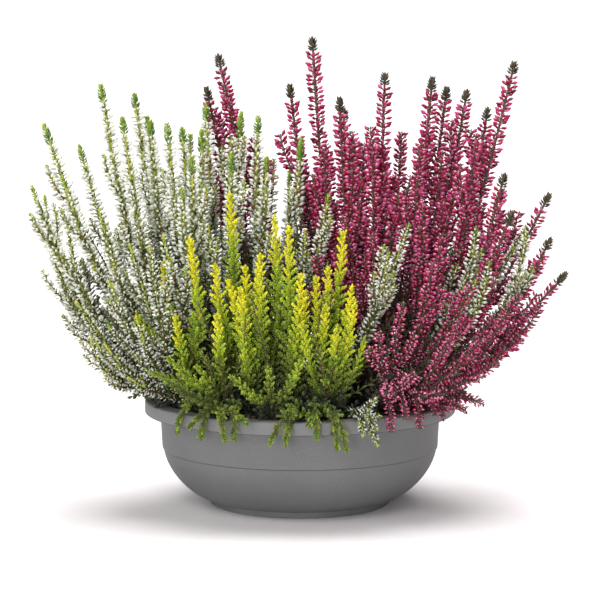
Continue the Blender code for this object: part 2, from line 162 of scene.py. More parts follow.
class Maker:
    """Builds one material, node by node."""

    def __init__(self, name: str) -> None:
        """Starts an empty material of that name.

        Args:
            name: the material's name.
        """
        self.material = bpy.data.materials.new(name)
        self.material.use_nodes = True
        self.tree = self.material.node_tree
        self.tree.nodes.clear()

    def add(self, kind: str, settings: dict, inputs: dict, output: int = 0) -> Wire:
        """Adds a node.

        Args:
            kind: the node's type.
            settings: its own settings, set first; "stops" gives a ramp's stops.
            inputs: values or wires by the sockets' names or places.
            output: which of its outputs is wanted.

        Returns:
            That output.
        """
        node = self.tree.nodes.new(kind)
        for setting, value in settings.items():
            if setting == "stops":
                self._set_stops(node.color_ramp, value)
            else:
                setattr(node, setting, value)
        for place, value in inputs.items():
            if isinstance(value, Wire):
                self.tree.links.new(value.socket, node.inputs[place])
            else:
                node.inputs[place].default_value = value
        return Wire(self, node.outputs[output])

    @staticmethod
    def _set_stops(ramp: bpy.types.ColorRamp, stops: tuple) -> None:
        """Puts the stops, pairs of place and colour, on a ramp.

        Args:
            ramp: the ramp.
            stops: its stops.
        """
        while len(ramp.elements) < len(stops):
            ramp.elements.new(1.0)
        for element, (place, colour) in zip(ramp.elements, stops):
            element.position = place
            element.color = colour

    def ramp(self, value: Wire, *stops: tuple) -> Wire:
        """A colour read off stops, which are pairs of place and colour."""
        return self.add("ShaderNodeValToRGB", {"stops": stops}, {0: value})

    def mix(self, share: object, first: object, second: object, blend: str = "MIX") -> Wire:
        """One colour laid over another.

        Args:
            share: how much of the second shows.
            first, second: the colour below and the one on top.
            blend: how they meet.

        Returns:
            The mixed colour.
        """
        settings = {"data_type": "RGBA", "blend_type": blend}
        return self.add("ShaderNodeMix", settings, {0: share, 6: first, 7: second}, output=2)

    def dappled(self, share: float, colour: Wire, noise: Wire, dark: tuple, white_from: float = 0.7) -> Wire:
        """A colour darkened in patches.

        Args:
            share: how much the patches show.
            colour: what they lie on.
            noise: where they lie.
            dark: the patches' own tint.
            white_from: the noise from which nothing is darkened.

        Returns:
            The dappled colour.
        """
        return self.mix(share, colour, self.ramp(noise, (0.3, dark), (white_from, WHITE)), "MULTIPLY")

    def step(self, value: Wire, low: float, high: float) -> Wire:
        """A smooth step from 0 at low to 1 at high."""
        settings = {"interpolation_type": "SMOOTHSTEP"}
        return self.add("ShaderNodeMapRange", settings, {0: value, 1: low, 2: high})

    def noise(self, vector: Wire, scale: float, detail: float = 2.0) -> Wire:
        """Soft noise about 0.5 at the vector's places."""
        return self.add("ShaderNodeTexNoise", {}, {"Vector": vector, "Scale": scale, "Detail": detail})

    def object_place(self) -> Wire:
        """Place on the object, in metres."""
        return self.add("ShaderNodeTexCoord", {}, {}, output=3)

    def axis(self, vector: Wire, axis: int) -> Wire:
        """One of a vector's three values."""
        return self.add("ShaderNodeSeparateXYZ", {}, {0: vector}, output=axis)

    def bump(self, height: Wire, strength: float, distance: float) -> Wire:
        """A normal that follows the height, whose unit is the distance in metres."""
        inputs = {"Strength": strength, "Distance": distance, "Height": height}
        return self.add("ShaderNodeBump", {}, inputs)

    def finish(self, **inputs: object) -> bpy.types.Material:
        """Closes the material with a Principled shader.

        Args:
            inputs: the shader's sockets by name, with _ for a space.

        Returns:
            The finished material.
        """
        sockets = {name.replace("_", " "): value for name, value in inputs.items()}
        shader = self.add("ShaderNodeBsdfPrincipled", {}, sockets)
        out = self.tree.nodes.new("ShaderNodeOutputMaterial")
        self.tree.links.new(shader.socket, out.inputs["Surface"])
        return self.material


@dataclass(frozen=True)
class ChartReading:
    """What the chart says at a point: how far along a bud, leaf or stem, its shade, and which side."""

    along: Wire
    shade: Wire
    across: Wire

    @classmethod
    def of(cls, maker: Maker, part: Part) -> "ChartReading":
        """Reads the piece's own chart in the part's band.

        Args:
            maker: the material being built.
            part: whose band it is.

        Returns:
            The three readings.
        """
        place = maker.add("ShaderNodeUVMap", {"uv_map": CHART}, {})
        along, height = maker.axis(place, 0), maker.axis(place, 1)
        step = (height * len(Part) - (part.value + BAND_EDGE)) * (LEVELS / BAND_SHARE)
        return cls(along, step.maths("FLOOR", step) / (LEVELS - 1.0), step.maths("FRACT", step))

    def noise(self, along: float, across: float, shade: float, scale: float, detail: float = 2.0) -> Wire:
        """Noise stretched over the chart.

        Args:
            along, across, shade: how fast it changes with each reading.
            scale, detail: the noise's own.

        Returns:
            The noise, about 0.5.
        """
        maker = self.along.maker
        parts = (self.along * along, self.across * across, self.shade * shade)
        return maker.noise(maker.add("ShaderNodeCombineXYZ", {}, dict(enumerate(parts))), scale, detail)


def chart_height(part: Part, shades: np.ndarray, across: np.ndarray) -> np.ndarray:
    """Where on the chart a part's points lie.

    Args:
        part: whose band it is.
        shades: from 0 to 1, one for each copy.
        across: from -1 to 1, one for each point of the shape.

    Returns:
        Chart heights, copies by points.
    """
    level = np.floor(np.clip(shades, 0.0, 0.999) * LEVELS)
    step = (level[:, None] + 0.5 + ACROSS_SHARE * across[None]) / LEVELS
    return (part.value + BAND_EDGE + BAND_SHARE * step) / len(Part)


@dataclass(frozen=True)
class BudFinish:
    """Papery closed buds: a neck, a body in three shades, a pale sepal edge on the upper side that is also a
    painted highlight, and painted shade on the underside.
    """

    name: str
    neck: tuple
    dark: tuple
    middle: tuple
    pale: tuple
    # Pale sepal edge on the upper side, which also serves as a painted highlight.
    pale_edge_and_highlight: tuple
    pale_edge_and_highlight_share: float
    # Painted shade: the underside of each bud is coloured darker.
    under: tuple
    painted_underside_share: float
    roughness: float

    def material(self) -> bpy.types.Material:
        """The buds' material.

        Returns:
            The material.
        """
        maker = Maker(self.name)
        read = ChartReading.of(maker, Part.BUD)
        body = maker.ramp(read.shade, (0.0, self.dark), (0.5, self.middle), (1.0, self.pale))
        grain = read.noise(2.0, 6.0, 37.0, scale=1.6)
        body = maker.dappled(0.35, body, grain, srgb(140, 140, 140))
        # Painted shade on each bud's underside.
        under = maker.step(read.across, 0.50, 0.15)
        body = maker.mix(under * self.painted_underside_share, body, self.under)
        # The sepals' pale edge on the upper side, partly a painted highlight where light falls.
        side = maker.step(read.across, 0.58, 0.84) * maker.step(read.along, 0.34, 0.6)
        body = maker.mix(side * self.pale_edge_and_highlight_share, body, self.pale_edge_and_highlight)
        colour = maker.mix(maker.step(read.along, 0.12, 0.42), self.neck, body)
        folds = read.noise(0.6, 9.0, 11.0, scale=2.0)
        return maker.finish(
            Base_Color=colour,
            Roughness=self.roughness + 0.15 * grain,
            Specular_IOR_Level=0.25,
            Normal=maker.bump(folds, 0.35, 0.0004),
        )


@dataclass(frozen=True)
class LeafFinish:
    """Scale leaves: old, grown and young shades, paler towards the tip of each leaf."""

    name: str
    part: Part
    old: tuple
    grown: tuple
    young: tuple
    tip: tuple
    tip_share: float

    def material(self) -> bpy.types.Material:
        """The leaves' material.

        Returns:
            The material.
        """
        maker = Maker(self.name)
        read = ChartReading.of(maker, self.part)
        # The old stop also takes the painted shade that Spray gives to low and inner leaves, as well as
        # really old leaves.
        body = maker.ramp(read.shade, (0.0, self.old), (0.5, self.grown), (1.0, self.young))
        mottle = read.noise(5.0, 3.0, 41.0, scale=1.4)
        body = maker.dappled(0.4, body, mottle, srgb(150, 150, 140))
        pale = maker.step(read.along, 0.55, 1.0) * read.shade * self.tip_share
        keel = read.noise(1.0, 7.0, 13.0, scale=2.0)
        return maker.finish(
            Base_Color=maker.mix(pale, body, self.tip),
            Roughness=0.5 + 0.2 * mottle,
            Normal=maker.bump(keel, 0.3, 0.0003),
        )


@dataclass(frozen=True)
class BarkFinish:
    """Woody stem below, softer and brighter towards the shoot's tip, with lengthwise cracks."""

    name: str
    wood: tuple
    bark: tuple
    green: tuple

    def material(self) -> bpy.types.Material:
        """The stems' material.

        Returns:
            The material.
        """
        maker = Maker(self.name)
        read = ChartReading.of(maker, Part.BARK)
        cracks = read.noise(60.0, 5.0, 29.0, scale=1.5, detail=4.0)
        age = read.along + 0.25 * (cracks - 0.5)
        body = maker.ramp(age, (0.05, self.wood), (0.45, self.bark), (0.85, self.green))
        return maker.finish(
            Base_Color=maker.dappled(0.5, body, cracks, srgb(110, 105, 100), white_from=0.65),
            Roughness=0.85 - 0.2 * cracks,
            Normal=maker.bump(cracks, 0.5, 0.0004),
        )


@dataclass(frozen=True)
class PlasticFinish:
    """Matt moulded plastic with a fine speckle and a little dust, painted light on the lip's face and painted
    shade in two creases; heights in metres.
    """

    name: str = "bowl_plastic"
    colour: tuple = srgb(101, 102, 102)
    deep: tuple = srgb(94, 95, 96)
    dust: tuple = srgb(132, 131, 127)
    dust_share: float = 0.35
    # Painted light: the lip's face is coloured lighter, as a highlight where light catches it.
    lip: tuple = srgb(112, 112, 112)
    lip_low: float = 0.0688
    lip_highlight_blend: float = 0.0004
    lip_highlight_share: float = 0.7
    # Painted shade: a dark line along the step and another just under the lip's lower edge.
    painted_crease_shade: tuple = srgb(58, 58, 57)
    painted_shade_heights: tuple = (0.0417, 0.0687)
    painted_shade_reach: float = 0.0006
    painted_shade_share: float = 0.8

    def material(self) -> bpy.types.Material:
        """The bowl's material.

        Returns:
            The material.
        """
        maker = Maker(self.name)
        place = maker.object_place()
        clouds = maker.noise(place, 14.0, 3.0)
        speckle = maker.noise(place, 900.0)
        colour = maker.mix(maker.step(clouds, 0.35, 0.65), self.deep, self.colour)
        colour = maker.mix(maker.step(speckle, 0.58, 0.72) * self.dust_share, colour, self.dust)
        height = maker.axis(place, 2)
        # Painted light on the lip's face.
        lip_highlight_mask = maker.step(height, self.lip_low, self.lip_low + self.lip_highlight_blend)
        colour = maker.mix(lip_highlight_mask * self.lip_highlight_share, colour, self.lip)
        # Painted shade in the crease at the step and under the lip's lower edge.
        for painted_shade_height in self.painted_shade_heights:
            in_painted_shade = maker.step(abs(height - painted_shade_height), self.painted_shade_reach, 0.0)
            colour = maker.mix(in_painted_shade * self.painted_shade_share, colour, self.painted_crease_shade)
        return maker.finish(
            Base_Color=colour,
            Roughness=0.52 + 0.12 * clouds + 0.1 * speckle,
            Normal=maker.bump(speckle, 0.25, 0.0003),
        )


@dataclass(frozen=True)
class SoilFinish:
    """Damp peat with paler fibres."""

    name: str = "peat"
    dark: tuple = srgb(72, 63, 58)
    brown: tuple = srgb(100, 86, 74)
    fibre: tuple = srgb(128, 104, 78)

    def material(self) -> bpy.types.Material:
        """The soil's material.

        Returns:
            The material.
        """
        maker = Maker(self.name)
        place = maker.object_place()
        lumps = maker.noise(place, 160.0, 5.0)
        crumbs = maker.add("ShaderNodeTexVoronoi", {}, {"Vector": place, "Scale": 420.0})
        colour = maker.mix(maker.step(lumps, 0.35, 0.65), self.dark, self.brown)
        colour = maker.mix(maker.step(maker.noise(place, 700.0), 0.66, 0.76), colour, self.fibre)
        return maker.finish(
            Base_Color=colour,
            Roughness=0.9 + 0.08 * lumps,
            Normal=maker.bump(lumps + 0.5 * crumbs, 0.8, 0.0012),
        )


def turned(profile: list, sides: int, merge: float, phase: float = 0.0) -> bmesh.types.BMesh:
    """Turns a profile round Z with a full spin.

    Args:
        profile: pairs of radius and height; the first and last lie on the axis.
        sides: how many sides the turned shape has.
        merge: how near doubled points are joined.
        phase: the angle round Z at which the profile starts.

    Returns:
        The closed bmesh, which faces outwards.
    """
    bm = bmesh.new()
    verts = [bm.verts.new((r * math.cos(phase), r * math.sin(phase), z)) for r, z in profile]
    edges = [bm.edges.new(pair) for pair in zip(verts, verts[1:])]
    bmesh.ops.spin(bm, geom=verts + edges, cent=(0, 0, 0), axis=(0, 0, 1), angle=FULL_TURN,
                   steps=sides, use_merge=True)
    bmesh.ops.remove_doubles(bm, verts=bm.verts, dist=merge)
    bmesh.ops.recalc_face_normals(bm, faces=bm.faces)
    return bm


@dataclass(frozen=True)
class Shape:
    """A small shape made once and copied in bulk. It stands on its base along +Z and is 1 long."""

    points: np.ndarray
    triangles: np.ndarray
    along: np.ndarray
    across: np.ndarray
    part: Part

    @classmethod
    def spun(cls, profile: list, sides: int, part: Part) -> "Shape":
        """Turns a profile round Z and cuts it into triangles.

        Args:
            profile: pairs of radius and height from base to tip; the first and last lie on the axis.
            sides: how many sides the turned shape has.
            part: what it is a part of.

        Returns:
            The closed shape.
        """
        bm = turned(profile, sides, merge=1e-5, phase=PHASE)
        bmesh.ops.triangulate(bm, faces=bm.faces)
        bm.verts.ensure_lookup_table()
        bm.verts.index_update()
        points = np.array([v.co for v in bm.verts], float)
        triangles = np.array([[v.index for v in f.verts] for f in bm.faces], np.int32)
        bm.free()
        reach = np.hypot(points[:, 0], points[:, 1])
        low, high = points[:, 2].min(), points[:, 2].max()
        along = (points[:, 2] - low) / (high - low)
        across = np.where(reach > 1e-6, points[:, 0] / np.maximum(reach, 1e-6), 0.0)
        return cls(points, triangles, along, across, part)

    @classmethod
    def joined(cls, shapes: list, part: Part) -> "Shape":
        """Several shapes, already in place, as one.

        Args:
            shapes: the shapes.
            part: what the whole is a part of.

        Returns:
            The one shape.
        """
        starts = np.cumsum([0] + [len(shape.points) for shape in shapes])
        return cls(
            np.vstack([shape.points for shape in shapes]),
            np.vstack([shape.triangles + start for shape, start in zip(shapes, starts)]),
            np.concatenate([shape.along for shape in shapes]),
            np.concatenate([shape.across for shape in shapes]),
            part,
        )

    def placed(self, height: float, lean: float, turn: float, size: tuple, span: tuple) -> "Shape":
        """A copy leaning off +Z.

        Args:
            height: where on Z its base goes.
            lean, turn: angles from +Z and round +Z.
            size: width, thickness and length.
            span: what its base and its tip read along the whole.

        Returns:
            The placed copy.
        """
        turned_by = Matrix.Rotation(turn, 3, "Z") @ Matrix.Rotation(lean, 3, "Y")
        points = (self.points * size) @ np.array(turned_by).T + (0.0, 0.0, height)
        return replace(self, points=points, along=span[0] + (span[1] - span[0]) * self.along)

    def bent_along(self, centres: np.ndarray, radii: np.ndarray, sides: np.ndarray,
                   others: np.ndarray) -> "Shape":
        """A tube of as many rings as there are centres, bent to follow them.

        Args:
            centres, radii: the rings' centres and radii.
            sides, others: two sides square to the line at each ring.

        Returns:
            The bent tube.
        """
        ring = np.rint(self.points[:, 2] * (len(centres) - 1)).astype(int)
        x, y = self.points[:, :1], self.points[:, 1:2]
        points = centres[ring] + radii[ring, None] * (x * sides[ring] + y * others[ring])
        return replace(self, points=points)


def tube(rings: int, sides: int, part: Part) -> Shape:
    """A straight closed tube of radius 1 and length 1.

    Args:
        rings: how many rings of points it has.
        sides: how many sides.
        part: what it is a part of.

    Returns:
        The tube.
    """
    walls = [(1.0, k / (rings - 1)) for k in range(rings)]
    return Shape.spun([(0.0, 0.0), *walls, (0.0, 1.0)], sides, part)


def spindle(width: float, widest: float, sides: int, part: Part) -> Shape:
    """A shape that tapers from its widest place to both ends.

    Args:
        width: its radius there.
        widest: how far up that is.
        sides: how many sides it has.
        part: what it is a part of.

    Returns:
        The shape, 1 long.
    """
    return Shape.spun([(0.0, 0.0), (width, widest), (0.0, 1.0)], sides, part)


@dataclass(frozen=True)
class SprigPlan:
    """A leafy twiglet: a slim axis with opposite pairs of scale leaves, each pair turned a quarter."""

    pairs: int
    leaf_length: float
    leaf_width: float
    lean: float
    axis_size: tuple = (0.035, 0.035, 0.92)
    axis_span: tuple = (0.0, 0.8)
    leaf_flat: float = 0.7
    tip_upright: float = 0.65
    tip_shorter: float = 0.15

    def shape(self) -> Shape:
        """The twiglet, 1 long, as a shape.

        Returns:
            The shape, whose along runs from its foot to its tip.
        """
        leaf = spindle(0.5, 0.64, 3, Part.LEAF)
        stem = spindle(1.0, 0.1, 3, Part.LEAF)
        shapes = [stem.placed(0.0, 0.0, 0.0, self.axis_size, self.axis_span)]
        last = 1.0 - 0.8 * self.leaf_length
        for k in range(self.pairs):
            share = (k + 0.7) / (self.pairs - 0.3)
            lean = self.lean * (1.0 - self.tip_upright * share**3)
            length = self.leaf_length * (1.0 - self.tip_shorter * share)
            size = (self.leaf_width * self.leaf_flat, self.leaf_width, length)
            for side in (0, 1):
                turn = math.pi * side + 0.5 * math.pi * k + 0.2 * math.sin(2.3 * k)
                shapes.append(leaf.placed(last * share, lean, turn, size, (0.6 * share, 0.55 + 0.45 * share)))
        return Shape.joined(shapes, Part.LEAF)


@dataclass
class Gathering:
    """Collects the copies and tubes of one piece and turns them into its mesh."""

    points: list = field(default_factory=list)
    triangles: list = field(default_factory=list)
    charts: list = field(default_factory=list)
    parts: list = field(default_factory=list)
    count: int = 0

    def add_tube(self, shape: Shape, shade: float) -> None:
        """Adds a shape that is already in place, in a shade from 0 to 1."""
        chart = chart_height(shape.part, np.array([shade]), shape.across)
        self._keep(shape, shape.points[None], chart, shape.part)

    def add_copies(self, shape: Shape, places: np.ndarray, axes: np.ndarray, fronts: np.ndarray,
                   sizes: np.ndarray, shades: np.ndarray, kept: object = slice(None),
                   part: Part | None = None) -> None:
        """Adds one copy of a shape at each place.

        Args:
            shape: what is copied.
            places: where each copy's foot goes.
            axes: the way each copy points.
            fronts: the way each copy's front faces, not along its axis.
            sizes: width, thickness and length of each.
            shades: each copy's shade, from 0 to 1.
            kept: which of them are made.
            part: the part they belong to, if not the shape's own.
        """
        places, axes, fronts, sizes, shades = (row[kept] for row in (places, axes, fronts, sizes, shades))
        if not len(places):
            return
        part = part or shape.part
        axes = axes / np.linalg.norm(axes, axis=1, keepdims=True)
        fronts = fronts - axes * (fronts * axes).sum(axis=1, keepdims=True)
        fronts = fronts / np.linalg.norm(fronts, axis=1, keepdims=True)
        ways = np.stack([fronts, np.cross(axes, fronts), axes], axis=1) * sizes[:, :, None]
        points = np.einsum("pi,nij->npj", shape.points, ways) + places[:, None]
        self._keep(shape, points, chart_height(part, shades, shape.across), part)

    def _keep(self, shape: Shape, points: np.ndarray, chart: np.ndarray, part: Part) -> None:
        """Stores copies of a shape, their chart places and their slot.

        Args:
            shape: what is copied.
            points, chart: where the copies' points lie, in space and on the chart.
            part: the part they belong to.
        """
        copies, size = points.shape[:2]
        starts = self.count + size * np.arange(copies)
        self.points.append(points.reshape(-1, 3))
        self.triangles.append((shape.triangles[None] + starts[:, None, None]).reshape(-1, 3))
        along = np.broadcast_to(ALONG_EDGE + ALONG_SHARE * shape.along[None], chart.shape)
        self.charts.append(np.stack([along, chart], axis=2).reshape(-1, 2))
        self.parts.append(np.full(copies * len(shape.triangles), part.value, np.int32))
        self.count += copies * size

    def piece(self, name: str, materials: list) -> bpy.types.Object:
        """Makes the object.

        Args:
            name: the piece's name.
            materials: one material for each part.

        Returns:
            The piece, in metres, at the origin.
        """
        points = np.vstack(self.points) * MM
        triangles = np.vstack(self.triangles)
        parts = np.concatenate(self.parts)
        chart = np.vstack(self.charts)[triangles.reshape(-1)]
        mesh = bpy.data.meshes.new(name)
        mesh.vertices.add(len(points))
        mesh.vertices.foreach_set("co", points.astype(np.float32).ravel())
        mesh.loops.add(triangles.size)
        mesh.loops.foreach_set("vertex_index", triangles.astype(np.int32).ravel())
        mesh.polygons.add(len(triangles))
        mesh.polygons.foreach_set("loop_start", np.arange(0, triangles.size, 3, dtype=np.int32))
        mesh.polygons.foreach_set("material_index", parts)
        mesh.polygons.foreach_set("use_smooth", np.isin(parts, (Part.BARK.value, Part.BUD.value)))
        layer = mesh.uv_layers.new(name=CHART)
        layer.data.foreach_set("uv", chart.astype(np.float32).ravel())
        for material in materials:
            mesh.materials.append(material)
        mesh.update(calc_edges=True)
        mesh.validate()
        return linked(name, mesh)


def linked(name: str, data: bpy.types.ID) -> bpy.types.Object:
    """An object of that name and data, in the scene.

    Args:
        name: its name.
        data: its mesh, light or camera.

    Returns:
        The object.
    """
    obj = bpy.data.objects.new(name, data)
    bpy.context.scene.collection.objects.link(obj)
    return obj


def object_from(bm: bmesh.types.BMesh, name: str) -> bpy.types.Object:
    """Turns a bmesh, already in metres, into an object at the origin.

    Args:
        bm: the bmesh, which is freed.
        name: the object's name.

    Returns:
        The object.
    """
    mesh = bpy.data.meshes.new(name)
    bm.to_mesh(mesh)
    bm.free()
    return linked(name, mesh)


@dataclass(frozen=True)
class Growth:
    """How one kind of heather grows: shares are of a shoot's length or of its radius."""

    crown: tuple
    radius: float
    bare: float
    taper: float
    bow: float
    spread: float


@dataclass(frozen=True)
class Dress:
    """What one kind's shoots carry, in millimetres and radians."""

    tip_length: tuple
    tip_step: float
    tip_leaf: float
    tip_width: float
    tip_lean: float
    tip_close: float
    stem_foot: float = 1.3
    stem_tip: float = 0.75
    tip_neck: float = 0.0
    twig_step: float = 7.0
    twig_reach: float = 0.58
    twig_length: tuple = (9.0, 17.0)
    bract_length: float = 0.0
    bract_width: float = 0.0
    bud_length: float = 0.0
    bud_width: float = 0.0
    bud_lean: float = 0.0
    bud_step: float = 1.0
    bud_shade: float = 0.5
    bud_taper: float = 0.0
    laterals: int = 0
    lateral_length: tuple = (0.0, 0.0)
    lateral_tip: float = 0.0


class Habit(Enum):
    """The three kinds of heather."""

    WHITE = "white"
    MAGENTA = "magenta"
    YELLOW = "yellow"

    @property
    def growth(self) -> Growth:
        """How this kind grows."""
        return GROWTHS[self]

    @property
    def dress(self) -> Dress:
        """What this kind's shoots carry."""
        return DRESSES[self]


GROWTHS = {
    Habit.WHITE: Growth((-50.0, 18.0), 6.4, 0.14, 26.0, 0.60, 0.48),
    Habit.MAGENTA: Growth((50.0, 20.0), 6.5, 0.13, 26.0, 0.45, 0.46),
    Habit.YELLOW: Growth((-10.0, -48.0), 7.2, 0.08, 60.0, 0.45, 0.72),
}

DRESSES = {
    Habit.WHITE: Dress(
        (12.0, 20.0), tip_step=0.95, tip_leaf=4.8, tip_width=2.8, tip_lean=math.radians(43), tip_close=2.4,
        bract_length=4.2, bract_width=2.4, bud_length=6.7, bud_width=2.35, bud_lean=math.radians(66),
        bud_step=1.5, bud_shade=0.1, bud_taper=0.3, laterals=4, lateral_length=(22.0, 50.0), lateral_tip=4.0,
    ),
    Habit.MAGENTA: Dress(
        (9.5, 12.0), tip_step=0.8, tip_leaf=5.3, tip_width=3.5, tip_lean=math.radians(56), tip_close=1.2,
        bract_length=3.4, bract_width=1.9, bud_length=6.5, bud_width=2.7, bud_lean=math.radians(68),
        bud_step=1.55, bud_shade=0.55, stem_tip=0.85, tip_neck=1.6, laterals=3,
        lateral_length=(25.0, 58.0), lateral_tip=3.0,
    ),
    Habit.YELLOW: Dress(
        (9.0, 9.0), tip_step=0.9, tip_leaf=3.0, tip_width=2.4, tip_lean=math.radians(46), tip_close=3.5,
        stem_foot=1.1, stem_tip=0.6, twig_step=2.8, twig_length=(3.9, 10.4),
    ),
}

WHITE_TIPS = (
    ((-188, 0, 281), (-195, -25, 238)),
    ((-165, 30, 264), (-176, -10, 190)),
    ((-147, 10, 310), (-171, -45, 246)),
    ((-129, -20, 287), (-143, -65, 224)),
    ((-124, 35, 302), (-110, 0, 284)),
    ((-116, 60, 284), (-84, 75, 270)),
    ((-96, -30, 283), (-77, -55, 261)),
    ((-88, 30, 277), (-72, -5, 277)),
    ((-70, 50, 293), (-44, 45, 288)),
    ((-31, 20, 286), (-24, -15, 258)),
    ((-50, -25, 262), (-66, -50, 212)),
    ((-84, -60, 239), (-97, -75, 207)),
    ((-122, -60, 199), (-136, -75, 174), (-106, -85, 200)),
    ((-162, -45, 156), (-150, -20, 123), (-144, -44, 104)),
    ((-116, -85, 150), (-140, -68, 128), (-124, -70, 104)),
    ((1, 15, 270), (21, -30, 232)),
    ((-60, 88, 262), (-95, 98, 236)),
    ((-130, 70, 250), (-150, 62, 205), (-128, 92, 190)),
    ((-70, 112, 206), (-98, 112, 172), (-45, 118, 168)),
    ((-20, 92, 250), (-30, 112, 208)),
)
AMONG_TIPS = (
    ((78, -65, 214), (63, -76, 194)),
    ((126, -20, 218), (131, -55, 195)),
    ((166, -15, 208),),
)
MAGENTA_TIPS = (
    ((-62, 62, 330), (-71, 58, 306), (-37, 70, 268)),
    ((9, 30, 343), (-8, 50, 308), (18, 0, 263)),
    ((29, 10, 300), (38, -20, 277)),
    ((33, 55, 290), (48, 35, 266)),
    ((63, 25, 317), (52, -40, 272)),
    ((97, 0, 315), (86, -45, 270)),
    ((110, 40, 307), (123, 10, 305)),
    ((158, 10, 326), (140, 30, 291)),
    ((127, -35, 276), (147, -42, 247)),
    ((184, 0, 230), (152, 28, 231)),
    ((151, -62, 222), (139, -52, 183)),
    ((197, 0, 171), (182, -27, 199)),
    ((160, 50, 198), (172, 32, 160)),
    ((70, -25, 232), (52, -55, 206), (33, -40, 215)),
    ((115, -30, 240), (88, -52, 227), (101, -72, 207)),
    ((94, -82, 188), (122, -77, 173)),
    ((160, -42, 161), (149, -66, 150)),
    ((72, -96, 161), (55, -102, 141), (80, -106, 112), (60, -110, 98)),
    ((108, -94, 140), (129, -84, 133), (100, -98, 96)),
    ((143, -58, 114), (133, -62, 82), (119, -80, 80)),
    ((20, 95, 262), (45, 108, 222), (14, 116, 184)),
    ((78, 78, 272), (92, 104, 226), (66, 118, 178)),
    ((122, 78, 246), (140, 84, 196), (118, 104, 172)),
)
YELLOW_TIPS = (
    ((-97, -60, 187), (-78, -72, 204), (-116, -56, 148)),
    ((-50, -45, 234), (-60, -84, 187)),
    ((-28, -80, 194), (-51, -76, 175), (-42, -98, 172)),
    ((-18, -60, 220), (-30, -60, 182), (-39, -64, 184)),
    ((-8, -76, 213), (1, -92, 181)),
    ((31, -60, 208), (11, -70, 177), (18, -100, 160)),
    ((37, -82, 172), (39, -96, 163), (26, -110, 147), (16, -114, 108)),
    ((-58, -102, 154), (-94, -96, 122), (-72, -110, 118), (-108, -80, 110)),
    ((-22, -117, 118), (-49, -116, 112), (2, -118, 124), (-36, -114, 98)),
)
TRAILING_TIPS = (
    (Habit.YELLOW, ((-96, -112, 108), (-52, -126, 66), (-78, -118, 74), (-36, -124, 78))),
    (Habit.YELLOW, ((33, -126, 58), (-22, -128, 64), (6, -126, 76))),
    (Habit.WHITE, ((54, -124, 62), (44, -127, 70))),
)
TRAILING = "trailing_spray"
FILLERS = {
    "magenta_spray_02": ((14, 38, 238), (2, 66, 250), (22, 5, 215)),
    "magenta_spray_03": ((28, -25, 190), (18, 30, 200)),
    "magenta_spray_05": ((70, -5, 245), (62, 20, 262)),
    "magenta_spray_06": ((104, -10, 262),),
    "magenta_spray_12": ((178, -10, 150), (168, 12, 140)),
    "magenta_spray_14": ((12, -30, 188), (16, -46, 150)),
    "yellow_spray_04": ((-24, -72, 124),),
    "yellow_spray_05": ((4, -80, 168), (-9, -64, 118)),
    "yellow_spray_06": ((6, -84, 136), (20, -74, 184), (10, -76, 142), (13, -66, 126)),
    "yellow_spray_07": ((24, -92, 138), (2, -94, 146), (46, -84, 136)),
    "yellow_spray_01": ((-88, -78, 150),),
    "yellow_spray_03": ((-40, -100, 136),),
    "magenta_spray_18": ((64, -103, 68), (75, -96, 76)),
    "magenta_spray_19": ((85, -88, 68), (96, -78, 76)),
    "magenta_spray_20": ((150, -40, 122), (128, -78, 102), (103, -66, 70), (115, -46, 76)),
    "white_spray_01": ((-190, 20, 228), (-182, -8, 200)),
    "white_spray_02": ((-178, 12, 172), (-168, -30, 210)),
    "white_spray_13": ((-135, -40, 168), (-118, -50, 150)),
    "white_spray_14": ((-150, -62, 132), (-158, -10, 150)),
    "white_spray_16": ((-8, 38, 245), (4, -12, 205), (12, 12, 185)),
    "white_spray_20": ((-8, 85, 215), (8, 70, 190)),
    "white_spray_22": ((125, -66, 212), (134, -76, 188)),
    "white_spray_23": ((164, -32, 205),),
    "trailing_spray_01": ((-88, -84, 64), (-70, -98, 62), (-46, -113, 64)),
    "trailing_spray_02": ((-10, -121, 62), (12, -121, 66), (26, -118, 58)),
}
BARE_TWIGS = {
    "magenta_spray_14": ((10, -24, 152), (36, -34, 128), (46, -44, 142), (30, -22, 164), (52, -30, 118),
                         (9, -30, 139), (8, -20, 132), (10, -12, 125), (5, -22, 119), (4, -14, 113)),
    "white_spray_10": ((-40, 4, 198), (-42, 12, 204), (-38, 8, 190)),
    "white_spray_16": ((6, -10, 150), (-6, -4, 164), (12, -2, 128), (-16, 6, 150), (16, 10, 176),
                       (8, 0, 146), (-22, -8, 158), (-25, 4, 166), (10, 8, 152),
                       (-2, 6, 206), (0, 0, 198), (-3, 10, 191), (1, 12, 214),
                       (9, -4, 138), (8, -14, 139), (5, -10, 121), (3, -6, 114)),
    "yellow_spray_07": ((12, -52, 118), (44, -60, 112), (50, -66, 124), (26, -56, 132), (58, -58, 104)),
    "yellow_spray_04": ((-30, -50, 120), (-44, -52, 140), (-20, -56, 132), (-60, -50, 128)),
    "magenta_spray_16": ((92, -64, 120), (80, -70, 108), (70, -74, 100), (106, -58, 112)),
    "magenta_spray_02": ((8, 14, 150), (11, 4, 146), (46, -6, 160), (40, 6, 150)),
    "white_spray_11": ((-72, -52, 120), (-88, -58, 110), (-60, -60, 112), (-100, -50, 120)),
}
LOW_YELLOW, HIGH_YELLOW = 112.0, 175.0
LOW_FLOWERS, HIGH_FLOWERS = 165.0, 284.0
OUTER_FLOWERS = 136.0
LOW_WHITE, WHITE_RISE = 215.0, 60.0
BEHIND = 45.0
AMONG_FROM = 40.0


@dataclass
class Shoot:
    """One shoot: its kind, its spray, its tip and where it leaves its parent."""

    habit: Habit
    node: int
    tip: np.ndarray
    parent: int | None = None
    fork: int = 0
    path: "Path | None" = None
    is_lateral: bool = False


